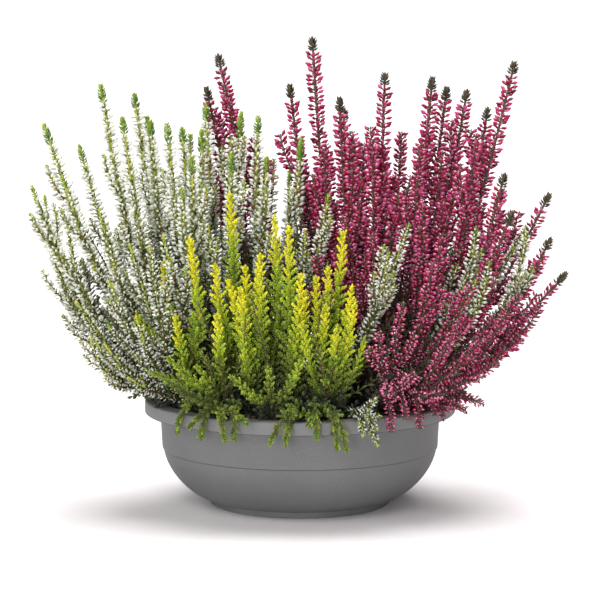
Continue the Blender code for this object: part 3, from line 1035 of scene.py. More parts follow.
@dataclass(frozen=True)
class SprayPlan:
    """A spray's name, its kind and its shoots' tips, the main one first."""

    name: str
    habit: Habit
    tips: tuple

    @property
    def trails(self) -> bool:
        """Whether it hangs over the rim."""
        return self.name.startswith(TRAILING)


def spray_plans() -> list:
    """Every spray's plan, in the order of the sprays' nodes.

    Returns:
        The plans.
    """
    beds = {Habit.WHITE: WHITE_TIPS + AMONG_TIPS, Habit.MAGENTA: MAGENTA_TIPS, Habit.YELLOW: YELLOW_TIPS}
    plans = [SprayPlan(f"{habit.value}_spray_{i:02d}", habit, tips)
             for habit, bed in beds.items() for i, tips in enumerate(bed, 1)]
    return plans + [SprayPlan(f"{TRAILING}_{i:02d}", *row) for i, row in enumerate(TRAILING_TIPS, 1)]


def arc_lengths(line: np.ndarray) -> np.ndarray:
    """Distance along the line to each of its points."""
    steps = np.linalg.norm(np.diff(line, axis=0), axis=1)
    return np.concatenate([[0.0], np.cumsum(steps)])


def smooth_points(line: np.ndarray, distances: np.ndarray) -> np.ndarray:
    """Points on a smooth curve through the line's points.

    Args:
        line: the line's points.
        distances: how far along it the wanted points lie.

    Returns:
        The points.
    """
    along = arc_lengths(line)
    before = np.vstack([2 * line[:1] - line[1:2], line[:-1]])
    after = np.vstack([line[1:], 2 * line[-1:] - line[-2:-1]])
    slope = 0.5 * (after - before)
    where = np.clip(np.searchsorted(along, distances, side="right") - 1, 0, len(line) - 2)
    t = ((distances - along[where]) / (along[where + 1] - along[where]))[:, None]
    start, end = line[where], line[where + 1]
    return (
        (2 * t**3 - 3 * t**2 + 1) * start
        + (t**3 - 2 * t**2 + t) * slope[where]
        + (3 * t**2 - 2 * t**3) * end
        + (t**3 - t**2) * slope[where + 1]
    )


@dataclass(frozen=True)
class Path:
    """A smooth line with sides that don't twist, read at any distance along it."""

    along: np.ndarray
    centres: np.ndarray
    ahead: np.ndarray
    sides: np.ndarray
    others: np.ndarray

    @classmethod
    def through(cls, line: np.ndarray, step: float = 1.5) -> "Path":
        """Runs a path through a line's points.

        Args:
            line: the points.
            step: how close together the path is worked out.

        Returns:
            The path.
        """
        length = arc_lengths(line)[-1]
        along = np.linspace(0.0, length, max(8, round(length / step)))
        centres = smooth_points(line, along)
        ahead = np.gradient(centres, axis=0)
        ahead /= np.linalg.norm(ahead, axis=1, keepdims=True)
        side = np.cross(ahead[0], (0.0, 1.0, 0.2))
        sides = []
        for direction in ahead:
            side = side - direction * (side @ direction)
            side = side / np.linalg.norm(side)
            sides.append(side)
        sides = np.array(sides)
        return cls(along, centres, ahead, sides, np.cross(ahead, sides))

    @property
    def length(self) -> float:
        """Its whole length."""
        return self.along[-1]

    def at(self, distances: np.ndarray) -> tuple:
        """Centres, ways ahead and two square sides at distances along it.

        Args:
            distances: where it is read.

        Returns:
            The four, a row for each distance.
        """
        tables = (self.centres, self.ahead, self.sides, self.others)
        return tuple(
            np.stack([np.interp(distances, self.along, table[:, axis]) for axis in range(3)], axis=1)
            for table in tables
        )


@dataclass
class Bowl:
    """The round plastic planter: low foot, rounded belly, small step, wide down-turned lip."""

    lip_radius: float = 115.0
    lip_height: float = 9.6
    lip_edge: float = 0.7
    rim_top: float = 78.0
    wall: float = 2.1
    body_radius: float = 104.3
    step_radius: float = 101.3
    step_height: float = 41.6
    step_out: float = 0.9
    foot_radius: float = 67.0
    foot_height: float = 4.6
    foot_hollow: float = 0.8
    floor_thickness: float = 2.6
    belly_power: float = 1.6
    belly_points: int = 14
    sides: int = 120
    edge_round: float = 1.5
    edge_points: int = 5
    drain_holes: int = 4
    drain_radius: float = 3.0
    drain_circle: float = 44.0
    drill_sides: int = 24
    drill_length: float = 20.0
    sharp_from: float = math.radians(40)

    def belly(self, inset: float) -> list:
        """The rounded lower side from the foot to the step.

        Args:
            inset: how far it is moved square inwards.

        Returns:
            Pairs of radius and height.
        """
        foot = (self.foot_radius - inset, self.foot_height + inset)
        step = (self.step_radius - inset, self.step_height)
        points = []
        for i in range(self.belly_points + 1):
            turn = 0.5 * math.pi * i / self.belly_points
            out = math.sin(turn) ** (2 / self.belly_power)
            down = math.cos(turn) ** (2 / self.belly_power)
            points.append((foot[0] + (step[0] - foot[0]) * out, step[1] - (step[1] - foot[1]) * down))
        return points

    def arc(self, centre: tuple, radius: float, start: float, end: float) -> list:
        """Points round part of a circle.

        Args:
            centre: its middle, as radius and height.
            radius: its own radius.
            start, end: angles in degrees from outwards towards up.

        Returns:
            Pairs of radius and height.
        """
        turns = np.radians(np.linspace(start, end, self.edge_points))
        return [(centre[0] + radius * math.cos(t), centre[1] + radius * math.sin(t)) for t in turns]

    def profile(self) -> list:
        """Under the foot, up the outside, round the lip and down the inside.

        Returns:
            Pairs of radius and height, from axis to axis.
        """
        lip_low = self.rim_top - self.lip_height
        under_lip = self.rim_top - self.wall
        inner_lip = self.lip_radius - self.wall
        over_step = self.step_radius + self.step_out
        r = self.edge_round
        return [
            (0.0, self.foot_hollow),
            (self.foot_radius - 5.0, self.foot_hollow),
            (self.foot_radius - 4.0, 0.0),
            *self.arc((self.foot_radius - 1.0, 1.0), 1.0, -90, 0),
            *self.belly(0.0),
            (self.step_radius + 0.2, self.step_height + 0.1),
            (over_step, self.step_height + 0.5),
            (over_step + 0.15, self.step_height + 1.6),
            (self.body_radius - 0.4, under_lip - 3.0),
            (self.body_radius + 0.4, under_lip - 0.6),
            (self.body_radius + 1.4, under_lip),
            (inner_lip - 0.8, under_lip),
            (inner_lip, under_lip - 0.8),
            (inner_lip, lip_low + 0.4),
            *self.arc((self.lip_radius - self.lip_edge, lip_low + self.lip_edge), self.lip_edge, -120, 0),
            *self.arc((self.lip_radius - r, self.rim_top - r), r, 0, 90),
            *self.arc((self.body_radius - self.wall + r, self.rim_top - r), r, 90, 180),
            *self.belly(self.wall)[::-1],
            (self.foot_radius - self.wall - 1.0, self.floor_thickness),
            (0.0, self.floor_thickness),
        ]

    def drills(self) -> bpy.types.Object:
        """The rods that the drain holes are cut with.

        Returns:
            The rods, as one object.
        """
        bm = bmesh.new()
        radius, circle = self.drain_radius * MM, self.drain_circle * MM
        for i in range(self.drain_holes):
            turn = FULL_TURN * (i + 0.5) / self.drain_holes
            place = Matrix.Translation((circle * math.cos(turn), circle * math.sin(turn), 0.0))
            bmesh.ops.create_cone(bm, cap_ends=True, segments=self.drill_sides, radius1=radius,
                                  radius2=radius, depth=self.drill_length * MM, matrix=place)
        return object_from(bm, "drain_drills")

    def build(self) -> bpy.types.Object:
        """Turns the profile and drills the drain holes.

        Returns:
            The bowl's piece.
        """
        profile = [(r * MM, z * MM) for r, z in self.profile()]
        bowl = object_from(turned(profile, self.sides, merge=1e-6), "dressed_bowl")
        drills = self.drills()
        cut = bowl.modifiers.new("drains", "BOOLEAN")
        cut.object = drills
        cut.operation = "DIFFERENCE"
        cut.solver = "EXACT"
        bowl.data = bpy.data.meshes.new_from_object(bowl.evaluated_get(bpy.context.evaluated_depsgraph_get()))
        bowl.modifiers.clear()
        bpy.data.objects.remove(drills)
        bowl.data.shade_smooth()
        bowl.data.set_sharp_from_angle(angle=self.sharp_from)
        bowl.data.materials.clear()
        bowl.data.materials.append(PlasticFinish().material())
        return bowl


@dataclass
class Planting:
    """Lays out the stems' lines: from spaced holes in the soil to the planned tips, none touching."""

    bowl: Bowl
    soil_edge: float = 67.0
    soil_mound: float = 4.0
    stem_radius: float = 1.5
    upright: float = 4.0
    base_spacing: float = 11.5
    base_reach: float = 88.0
    base_rounds: int = 400
    base_push: float = 0.4
    line_points: int = 13
    samples_between: int = 3
    clearance: float = 1.3
    rounds: int = 240
    return_rounds: int = 144
    push: float = 1.6
    pull_back: float = 0.03
    straighten: float = 0.22
    neighbour_rounds: int = 12
    neighbour_reach: float = 30.0
    block: int = 800
    fork_free: float = 34.0
    rim_inner: float = 100.5
    rim_outer: float = 116.0
    twig_gap: float = 1.5
    first_up: tuple = (0.34, -0.27)
    second_up: tuple = (0.82, -0.53)
    second_out: tuple = (0.55, 0.667)
    rim_near: float = 8.0
    rim_out: float = 0.78
    low_tip: float = 45.0
    over_rim: float = 26.0
    least_rise: float = 14.0
    tip_radius: float = 2.0
    foot_taper: float = 40.0
    fork_bare: float = 0.10
    forks: tuple = (3, 2, 4, 5)
    plans: list = field(default_factory=spray_plans)

    def soil_height(self, x: float, y: float) -> float:
        """Height of the soil's slightly mounded top."""
        edge = self.bowl.body_radius - self.bowl.wall
        return self.soil_edge + self.soil_mound * (1.0 - min(1.0, math.hypot(x, y) / edge) ** 2)

    def base_places(self) -> np.ndarray:
        """Where each spray's stem enters the soil.

        Returns:
            Places in x and y, spaced apart.
        """
        places = []
        for plan in self.plans:
            middle = np.mean(np.array(plan.tips, float), axis=0)[:2]
            crown = np.array(plan.habit.growth.crown)
            if plan.trails:
                places.append(self.base_reach * middle / np.hypot(*middle))
            else:
                places.append(crown + plan.habit.growth.spread * (middle - crown))
        places = np.array(places)
        for _ in range(self.base_rounds):
            apart = places[:, None] - places[None]
            distance = np.hypot(apart[..., 0], apart[..., 1]) + np.eye(len(places)) * 1e3
            push = np.clip(self.base_spacing - distance, 0, None) / distance
            places += self.base_push * (apart * push[..., None]).sum(axis=1)
            reach = np.hypot(places[:, 0], places[:, 1])
            places *= np.minimum(1.0, self.base_reach / reach)[:, None]
        return places

    def curve_between(self, start: np.ndarray, tip: np.ndarray, bow: float, least_rise: float) -> np.ndarray:
        """A first line: out and up, then more upright, over the rim if the tip is low.

        Args:
            start: where it starts.
            tip: where it ends.
            bow: how far it bows outwards.
            least_rise: how far its start goes up at least.

        Returns:
            The line's points.
        """
        across = (tip - start) * (1, 1, 0)
        rise = tip[2] - start[2]
        shares = (self.first_up, self.second_up, self.second_out)
        first_up, second_up, second_out = (straight + bow * bowed for straight, bowed in shares)
        first = start + bow * across + (0, 0, max(first_up * rise, least_rise))
        second = start + second_out * across + (0, 0, second_up * rise)
        is_out = np.hypot(*tip[:2]) > self.bowl.body_radius - self.rim_near
        if is_out and tip[2] < self.bowl.rim_top + self.low_tip:
            second[2] = max(second[2], self.bowl.rim_top + self.over_rim)
            second[:2] = start[:2] + self.rim_out * across[:2]
        t = np.linspace(0.0, 1.0, self.line_points)[:, None]
        return (
            (1 - t) ** 3 * start
            + 3 * (1 - t) ** 2 * t * first
            + 3 * (1 - t) * t**2 * second
            + t**3 * tip
        )

    def first_lines(self) -> tuple:
        """The shoots and their lines before they are spaced apart.

        Returns:
            The shoots, and an array of their lines.
        """
        shoots, lines = [], []
        for node, (plan, base) in enumerate(zip(self.plans, self.base_places())):
            foot = np.array((*base, self.soil_height(*base) + self.upright))
            main = len(shoots)
            bow = plan.habit.growth.bow
            for order, tip in enumerate(np.array(plan.tips, float)):
                if order == 0:
                    shoots.append(Shoot(plan.habit, node, tip))
                    lines.append(self.curve_between(foot, tip, bow, self.least_rise))
                    continue
                fork = self.forks[order - 1]
                shoots.append(Shoot(plan.habit, node, tip, main, fork))
                lines.append(self.curve_between(lines[main][fork], tip, bow, 0.0))
        return shoots, np.array(lines)

    def bare_length(self, shoot: Shoot, length: float) -> float:
        """How much of a shoot, from its start, is bare stem."""
        return (shoot.habit.growth.bare if shoot.parent is None else self.fork_bare) * length

    def bud_radius(self, shoot: Shoot, along: np.ndarray, length: float) -> np.ndarray:
        """The radius that a shoot's buds reach.

        Args:
            shoot: the shoot.
            along: distances along it.
            length: its whole length.

        Returns:
            The radius at each distance.
        """
        growth = shoot.habit.growth
        opening = np.clip((along - self.bare_length(shoot, length)) / self.foot_taper, 0.0, 1.0)
        closing = np.clip((length - along) / growth.taper, 0.0, 1.0)
        full = self.stem_radius + (growth.radius - self.stem_radius) * opening
        return np.minimum(full, self.tip_radius + (growth.radius - self.tip_radius) * closing**0.8)

    def close_pairs(self, samples: np.ndarray, node_of: np.ndarray, shoot_of: np.ndarray,
                    from_fork: np.ndarray) -> tuple:
        """Pairs of samples on different shoots that lie near each other.

        Args:
            samples: points along all shoots.
            node_of, shoot_of: each sample's spray and shoot.
            from_fork: how far each lies from its shoot's fork.

        Returns:
            The first and the second sample of each pair.
        """
        squares = (samples**2).sum(axis=1)
        firsts, seconds = [], []
        for start in range(0, len(samples), self.block):
            block = samples[start : start + self.block]
            gaps = squares[start : start + self.block, None] + squares[None] - 2 * block @ samples.T
            rows, columns = np.nonzero(gaps < self.neighbour_reach**2)
            rows += start
            same_node = node_of[rows] == node_of[columns]
            at_fork = np.minimum(from_fork[rows], from_fork[columns]) < self.fork_free
            keep = (rows < columns) & (shoot_of[rows] != shoot_of[columns]) & ~(same_node & at_fork)
            firsts.append(rows[keep])
            seconds.append(columns[keep])
        return np.concatenate(firsts), np.concatenate(seconds)

    def clear_of_rim(self, feet: np.ndarray, reaches: np.ndarray) -> np.ndarray:
        """Which of some twigs don't run into the bowl's wall or lip.

        Args:
            feet: where each starts.
            reaches: from its foot to its tip.

        Returns:
            True for each that is clear.
        """
        clear = np.ones(len(feet), bool)
        for share in (0.25, 0.5, 0.75, 1.0):
            places = feet + share * reaches
            reach = np.hypot(places[:, 0], places[:, 1])
            beside = (reach < self.rim_inner - self.twig_gap) | (reach > self.rim_outer)
            clear &= beside | (places[:, 2] > self.bowl.rim_top + 1)
        return clear

    def held_off(self, samples: np.ndarray, radius_of: np.ndarray) -> np.ndarray:
        """Shift that keeps samples out of the bowl's rim and off the soil.

        Args:
            samples: points along all shoots.
            radius_of: the room that each needs.

        Returns:
            The shift of each.
        """
        shift = np.zeros_like(samples)
        reach = np.hypot(samples[:, 0], samples[:, 1]) + 1e-9
        outward = samples * (1, 1, 0) / reach[:, None]
        room = radius_of + self.clearance
        inside = (reach > self.rim_inner - room) & (reach < self.rim_outer + room)
        over = self.bowl.rim_top + room - samples[:, 2]
        out = self.rim_outer + room - reach
        inward = reach - (self.rim_inner - room)
        hit = inside & (over > 0)
        go_up = hit & (over <= np.minimum(out, inward))
        go_out = hit & ~go_up & (out <= inward)
        go_in = hit & ~go_up & ~go_out
        shift[go_up, 2] += over[go_up]
        shift[go_out] += outward[go_out] * out[go_out, None]
        shift[go_in] -= outward[go_in] * inward[go_in, None]
        edge = self.bowl.body_radius - self.bowl.wall
        mound = self.soil_edge + self.soil_mound * (1.0 - np.clip(reach / edge, 0, 1) ** 2)
        low = (samples[:, 2] < mound + room) & (radius_of > self.stem_radius + 0.1)
        sunk = (reach < self.rim_inner) & low
        shift[sunk, 2] += (mound + room - samples[:, 2])[sunk]
        return shift

    def grown(self) -> list:
        """Moves the lines until no two sprays' buds, the rim or the soil touch.

        Returns:
            The shoots, each with its line.
        """
        shoots, lines = self.first_lines()
        count, points, _ = lines.shape
        fine = (points - 1) * self.samples_between + 1
        place = np.arange(fine) / self.samples_between
        low = np.minimum(place.astype(int), points - 2)
        share = place - low
        shoot_of = np.repeat(np.arange(count), fine)
        node_of = np.array([shoot.node for shoot in shoots])[shoot_of]
        wanted = lines.copy()
        along_of = np.zeros((count, fine))
        radius_of = np.zeros((count, fine))
        for i, shoot in enumerate(shoots):
            along = arc_lengths(lines[i])
            along_of[i] = np.interp(place, np.arange(points), along)
            radius_of[i] = self.bud_radius(shoot, along_of[i], along[-1])
        along_of = along_of.reshape(-1)
        radius_of = radius_of.reshape(-1)
        from_fork = np.where(np.array([s.parent is None for s in shoots])[shoot_of], 1e3, along_of)
        for i, shoot in enumerate(shoots):
            if shoot.parent is not None:
                mains = shoot_of == shoot.parent
                fork_along = arc_lengths(lines[shoot.parent])[shoot.fork]
                near = np.abs(along_of[mains] - fork_along)
                from_fork[mains] = np.minimum(from_fork[mains], near)
        first = second = None
        for step in range(self.rounds):
            at_low = lines[:, low]
            at_high = lines[:, low + 1]
            samples = (at_low + (at_high - at_low) * share[None, :, None]).reshape(-1, 3)
            if step % self.neighbour_rounds == 0:
                first, second = self.close_pairs(samples, node_of, shoot_of, from_fork)
            shift = np.zeros_like(samples)
            apart = samples[first] - samples[second]
            distance = np.linalg.norm(apart, axis=1) + 1e-9
            room = radius_of[first] + radius_of[second] + self.clearance
            push = np.clip(room - distance, 0.0, None)[:, None] * apart / distance[:, None] * 0.5
            hits = np.bincount(first, push[:, 0] != 0, len(samples))
            hits += np.bincount(second, push[:, 0] != 0, len(samples))
            for axis in range(3):
                shift[:, axis] += np.bincount(first, push[:, axis], len(samples))
                shift[:, axis] -= np.bincount(second, push[:, axis], len(samples))
            shift /= np.maximum(1.0, 0.5 * hits)[:, None]
            shift += self.held_off(samples, radius_of)
            moved = np.zeros_like(lines)
            weight = np.zeros((count, points, 1))
            shift = shift.reshape(count, fine, 3)
            for k in range(fine):
                moved[:, low[k]] += shift[:, k] * (1 - share[k])
                moved[:, low[k] + 1] += shift[:, k] * share[k]
                weight[:, low[k]] += 1 - share[k]
                weight[:, low[k] + 1] += share[k]
            lines = lines + self.push * moved / weight
            if step < self.return_rounds:
                lines += self.pull_back * (wanted - lines)
            middle = 0.5 * (lines[:, :-2] + lines[:, 2:])
            lines[:, 1:-1] += self.straighten * (middle - lines[:, 1:-1])
            for i, shoot in enumerate(shoots):
                if shoot.parent is None:
                    lines[i, 0] = wanted[i, 0]
                else:
                    lines[i, 0] = lines[shoot.parent, shoot.fork]
        for shoot, line in zip(shoots, lines):
            shoot.path = Path.through(line)
        return shoots


@dataclass
class ShapeBox:
    """The small shapes that all sprays are dressed with."""

    bud: Shape = field(default_factory=lambda: spindle(0.5, 0.62, 4, Part.BUD))
    leaf: Shape = field(default_factory=lambda: spindle(0.5, 0.48, 3, Part.LEAF))
    twig: Shape = field(default_factory=lambda: SprigPlan(3, 0.42, 0.22, math.radians(42)).shape())
    short: Shape = field(default_factory=lambda: SprigPlan(4, 0.42, 0.42, math.radians(36)).shape())
    medium: Shape = field(default_factory=lambda: SprigPlan(5, 0.34, 0.34, math.radians(36)).shape())
    long: Shape = field(default_factory=lambda: SprigPlan(6, 0.28, 0.30, math.radians(38)).shape())
    medium_from: float = 5.0
    long_from: float = 8.0

    def fingers(self, lengths: np.ndarray) -> tuple:
        """Each finger of scale leaves, with the lengths at which its leaves come nearest to true size."""
        is_short, is_long = lengths < self.medium_from, lengths >= self.long_from
        return (self.short, is_short), (self.medium, ~is_short & ~is_long), (self.long, is_long)


@dataclass
class Spray:
    """One spray: woody stems with their buds or scale leaves, leafy tips, side twigs and undergrowth."""

    plan: SprayPlan
    shoots: list
    planting: Planting
    shapes: ShapeBox
    seed: int
    stem_sides: int = 5
    ring_step: float = 8.0
    hole_depth: float = 8.0
    stem_power: float = 1.4
    twig_lean: float = math.radians(46)
    bract_lean: float = math.radians(42)
    finger_lean: float = math.radians(28)
    basal_lean: float = math.radians(48)
    skirt_leans: tuple = (math.radians(48), math.radians(72))
    lateral_lean: float = math.radians(34)
    lateral_taper: float = 40.0
    lateral_bark: float = 0.85
    lateral_slim: float = 0.62
    lateral_leaf: float = 0.6
    lateral_start: float = 2.0
    lateral_from: tuple = (0.3, 0.72)
    bud_end_slim: float = 0.55
    bud_taper_reach: float = 45.0
    bud_low: float = 90.0
    bud_rise: float = 170.0
    bud_spare: float = 0.36
    bud_least: float = 0.82
    bud_size: tuple = (0.85, 1.1)
    high_shade: float = 0.6
    low_bud: float = 0.78
    flat: float = 0.85
    bract_turn: float = 0.75
    bract_flat: float = 0.4
    # Painted shade low in the bush, and painted light on twigs out towards the rim, for Spray.twigs.
    painted_shade_below: float = 76.0
    painted_shade_fade: float = 46.0
    painted_shade_least: float = 0.15
    painted_light_radius: float = 92.0
    painted_light_fade: float = 20.0
    basal_bark: float = 0.2
    shaded_bark: float = 0.25
    side_start: float = 0.1
    skirt_twigs: int = 6
    skirt_reach: float = 12.0
    skirt_length: tuple = (13.0, 22.0)
    basal_shoots: int = 5
    more_behind: int = 5
    basal_height: tuple = (36.0, 120.0)
    basal_least: float = 14.0
    basal_bare: float = 7.0
    basal_leaf: float = 5.2
    basal_step: float = 3.2
    low_bright: float = 0.34
    bright_rise: float = 0.66
    trailing_bright: float = 0.22
    trailing_shade: float = 0.1
    body_shade: float = 0.26
    bright_tip: float = 12.0
    bright_reach: float = 110.0
    finger_reach: float = 70.0
    stem_short: float = 0.6

    def __post_init__(self) -> None:
        """Starts the spray's own random numbers and its gathering of faces."""
        self.random = np.random.default_rng(self.seed)
        self.faces = Gathering()

    def wobble(self, spread: float, count: int) -> np.ndarray:
        """Random amounts about 0."""
        return self.random.normal(0.0, spread, count)

    def brightness(self, shoot: Shoot) -> float:
        """How bright a yellow-leaved shoot's tip is: low shaded ones stay green.

        Args:
            shoot: the shoot.

        Returns:
            The brightness, from 0 to 1.
        """
        if self.plan.trails:
            return self.trailing_bright
        height = (shoot.tip[2] - LOW_YELLOW) / (HIGH_YELLOW - LOW_YELLOW)
        return self.low_bright + self.bright_rise * min(1.0, max(0.0, height))

    def ends_in_buds(self, shoot: Shoot) -> bool:
        """Whether its leafy tip is tiny: inner and low magenta shoots, and white ones among them.

        Args:
            shoot: the shoot.

        Returns:
            True where buds go nearly to the end.
        """
        x, _, z = shoot.tip
        if shoot.is_lateral:
            return True
        if shoot.habit is Habit.MAGENTA:
            return z < HIGH_FLOWERS and (x < OUTER_FLOWERS or z < LOW_FLOWERS)
        return x > AMONG_FROM

    def tip_size(self, shoot: Shoot) -> float:
        """How large its leafy tip is: small on side shoots and on white shoots low down.

        Args:
            shoot: the shoot.

        Returns:
            Its share of full size.
        """
        if self.ends_in_buds(shoot):
            return self.lateral_leaf
        if shoot.habit is not Habit.WHITE:
            return 1.0
        return 0.5 + 0.5 * min(1.0, max(0.0, (shoot.tip[2] - LOW_WHITE) / WHITE_RISE))

    def stem_radius(self, shoot: Shoot, share: np.ndarray) -> np.ndarray:
        """The stem's own radius at shares of its length: forked shoots start slimmer.

        Args:
            shoot: the shoot.
            share: the shares.

        Returns:
            The radii.
        """
        dress = shoot.habit.dress
        foot = dress.stem_foot if shoot.parent is None else 0.5 * (dress.stem_foot + dress.stem_tip)
        radius = dress.stem_tip + (foot - dress.stem_tip) * (1.0 - share) ** self.stem_power
        if shoot.is_lateral:
            return self.lateral_slim * radius
        return radius * (1.0 - self.bud_end_slim * share**2) if self.ends_in_buds(shoot) else radius

    def stem(self, shoot: Shoot, end: float, bark: float = 1.0) -> None:
        """The woody stem, from the soil or its fork up to a distance along it.

        Args:
            shoot: the shoot.
            end: where its stem ends, along its line.
            bark: how young the bark gets towards the end, from 0 to 1.
        """
        distances = np.linspace(0.0, end, max(4, round(end / self.ring_step)))
        centres, _, sides, others = shoot.path.at(distances)
        radii = self.stem_radius(shoot, distances / shoot.path.length)
        if shoot.parent is None:
            foot = centres[0] - (0, 0, self.planting.upright + self.hole_depth)
            centres = np.vstack([foot, centres])
            sides, others = np.vstack([sides[:1], sides]), np.vstack([others[:1], others])
            radii = np.concatenate([radii[:1], radii])
        straight = tube(len(centres), self.stem_sides, Part.BARK)
        bent = replace(straight, along=bark * straight.along).bent_along(centres, radii, sides, others)
        self.faces.add_tube(bent, self.random.uniform(0.1, 0.9))

    def turned_out(self, frames: tuple, turns: np.ndarray, leans: np.ndarray) -> tuple:
        """Ways that lean out from a stem.

        Args:
            frames: the stem's centres, ways ahead and two sides at each foot.
            turns: angles round the stem.
            leans: angles from the way ahead.

        Returns:
            The leaning ways, and the ways square out from the stem.
        """
        _, ahead, sides, others = frames
        out = np.cos(turns)[:, None] * sides + np.sin(turns)[:, None] * others
        return np.cos(leans)[:, None] * ahead + np.sin(leans)[:, None] * out, out

    def pairs(self, start: float, end: float, step: float) -> tuple:
        """Opposite pairs along a shoot.

        Args:
            start, end: where they begin and end.
            step: from one pair to the next.

        Returns:
            The distance of each member of each pair, and its turn round the stem.
        """
        count = max(1, int((end - start) / step))
        along = start + step * (np.arange(count) + 0.5)
        turns = 0.5 * math.pi * np.arange(count) + self.wobble(0.25, count)
        return np.repeat(along, 2), np.repeat(turns, 2) + np.tile((0.0, math.pi), count)

    def buds(self, shoot: Shoot, start: float, end: float) -> None:
        """Flower buds in opposite pairs with a bract under each.

        Args:
            shoot: the shoot.
            start, end: the stretch that carries them.
        """
        dress = shoot.habit.dress
        length = shoot.path.length
        distances, turns = self.pairs(start, end, dress.bud_step)
        frames = shoot.path.at(distances)
        centres, ahead = frames[:2]
        count = len(distances)
        turns = turns + self.wobble(0.2, count)
        near_tip = unit((length - distances) / self.bud_taper_reach)
        taper = 1.0 - dress.bud_taper * (1.0 - near_tip)
        room = self.planting.bud_radius(shoot, distances, length) / shoot.habit.growth.radius
        if shoot.is_lateral:
            room = 0.5 + (length - distances) / self.lateral_taper
        room = np.clip(room + self.bud_spare, self.bud_least, 1.0)
        grown = taper * room * self.random.uniform(*self.bud_size, count)
        height = unit((centres[:, 2] - self.bud_low) / self.bud_rise)
        leans = dress.bud_lean * (0.76 + 0.24 * near_tip) + self.wobble(0.18, count)
        ways, out = self.turned_out(frames, turns, leans)
        stem = self.stem_radius(shoot, distances / length)[:, None]
        feet = centres + out * stem * 0.8 + ahead * self.wobble(0.35, count)[:, None]
        widths = dress.bud_width * (0.8 + 0.4 * height) * grown * self.random.uniform(*self.bud_size, count)
        lengths = dress.bud_length * (self.low_bud + (1.0 - self.low_bud) * height) * grown
        sizes = np.stack([widths, widths * self.flat, lengths], axis=1)
        low = dress.bud_shade
        shades = unit(low + (self.high_shade - low) * height + self.wobble(0.28, count))
        self.faces.add_copies(self.shapes.bud, feet, ways, ahead, sizes, shades)
        leans = self.bract_lean + self.wobble(0.2, count)
        ways, out = self.turned_out(frames, turns + self.bract_turn, leans)
        size = (self.bract_flat * dress.bract_width, dress.bract_width, dress.bract_length)
        sizes = np.tile(size, (count, 1)) * (0.75 + 0.25 * grown)[:, None]
        shades = unit(0.1 + 0.6 * height + self.wobble(0.24, count))
        kept = slice(None, None, 2 if shoot.is_lateral else 1)
        self.faces.add_copies(self.shapes.leaf, centres, ways, out, sizes, shades, kept)

    def side_line(self, tip: tuple) -> Shoot:
        """A further shoot, up to a tip, that leaves the spray's main stem low down.

        Args:
            tip: where it ends.

        Returns:
            The shoot.
        """
        main = self.shoots[0]
        start = main.path.at(np.array([self.side_start * main.path.length]))[0][0]
        bow = main.habit.growth.bow
        line = self.planting.curve_between(start, np.array(tip, float), bow, self.planting.least_rise)
        return Shoot(main.habit, main.node, line[-1], parent=0, path=Path.through(line))

    def leafy_tip(self, shoot: Shoot, start: float, brightness: float = 1.0) -> None:
        """Scale leaves packed round the last stretch of a shoot.

        Args:
            shoot: the shoot.
            start: where they begin along it.
            brightness: how bright they are.
        """
        dress = shoot.habit.dress
        length = shoot.path.length
        distances, turns = self.pairs(start, length - 0.4 * dress.tip_leaf, dress.tip_step)
        count = len(distances)
        frames = shoot.path.at(distances)
        share = (distances - start) / max(length - start, 1e-6)
        swell = np.sin(unit(0.3 + 0.7 * share) * math.pi) ** 0.5
        leans = dress.tip_lean * (1.05 - share**dress.tip_close) + self.wobble(0.09, count)
        ways, out = self.turned_out(frames, turns, leans)
        grown = self.tip_size(shoot) * (0.4 + 0.6 * swell)
        long = dress.tip_leaf * grown
        sizes = np.stack([long * 0.4, dress.tip_width * grown, long], axis=1)
        shades = unit((0.25 + 0.6 * share + self.wobble(0.16, count)) * brightness)
        feet = frames[0] + 0.3 * out
        self.faces.add_copies(self.shapes.leaf, feet, ways, out, sizes, shades, part=Part.TIP)

    def twigs(self, shape: Shape, shoot: Shoot, *rows: np.ndarray) -> None:
        """Leafy side twigs of one shape, with painted shade on those low inside the bowl and painted light on
        those out towards the rim.

        Args:
            shape: the twig's shape.
            shoot: the shoot that they grow from.
            rows: each one's distance along it, turn, length, angle from the stem, and shade.
        """
        distances, turns, lengths, leans, shades = rows
        frames = shoot.path.at(distances)
        ways, out = self.turned_out(frames, turns, leans)
        sizes = np.repeat(lengths[:, None], 3, axis=1)
        free = self.planting.clear_of_rim(frames[0], ways * lengths[:, None])
        # Painted shade: twigs low in the bowl are darkened, partly for older inner leaves and partly as the
        # shade inside the bush; twigs out towards the rim keep their brightness as painted light.
        rise = (frames[0][:, 2] - self.painted_shade_below) / self.painted_shade_fade
        over_rim = (np.hypot(frames[0][:, 0], frames[0][:, 1]) - self.painted_light_radius) / self.painted_light_fade
        shades = shades * np.clip(np.maximum(rise, over_rim), self.painted_shade_least, 1.0)
        self.faces.add_copies(shape, frames[0], ways, out, sizes, shades, free)

    def lateral(self, shoot: Shoot, distance: float) -> Shoot:
        """A short side shoot that leaves its parent and then turns up along it.

        Args:
            shoot: the parent.
            distance: where it leaves the parent.

        Returns:
            The side shoot.
        """
        longest = 0.7 * (shoot.path.length - distance)
        length = min(longest, self.random.uniform(*shoot.habit.dress.lateral_length))
        frames = shoot.path.at(np.array([distance]))
        turn = self.random.uniform(0.0, FULL_TURN, 1)
        ways, _ = self.turned_out(frames, turn, np.array([self.lateral_lean]))
        start, first = frames[0][0], ways[0]
        onward = 0.7 * frames[1][0] + (0.0, 0.0, 0.3)
        line = [start + length * (t * first + 0.5 * t * t * (onward - first)) for t in np.linspace(0, 1, 6)]
        return self.small_shoot(shoot, line)

    def small_shoot(self, shoot: Shoot, line: list) -> Shoot:
        """A side shoot of the same kind along a line of points."""
        path = Path.through(np.array(line))
        return Shoot(shoot.habit, shoot.node, line[-1], parent=0, path=path, is_lateral=True)

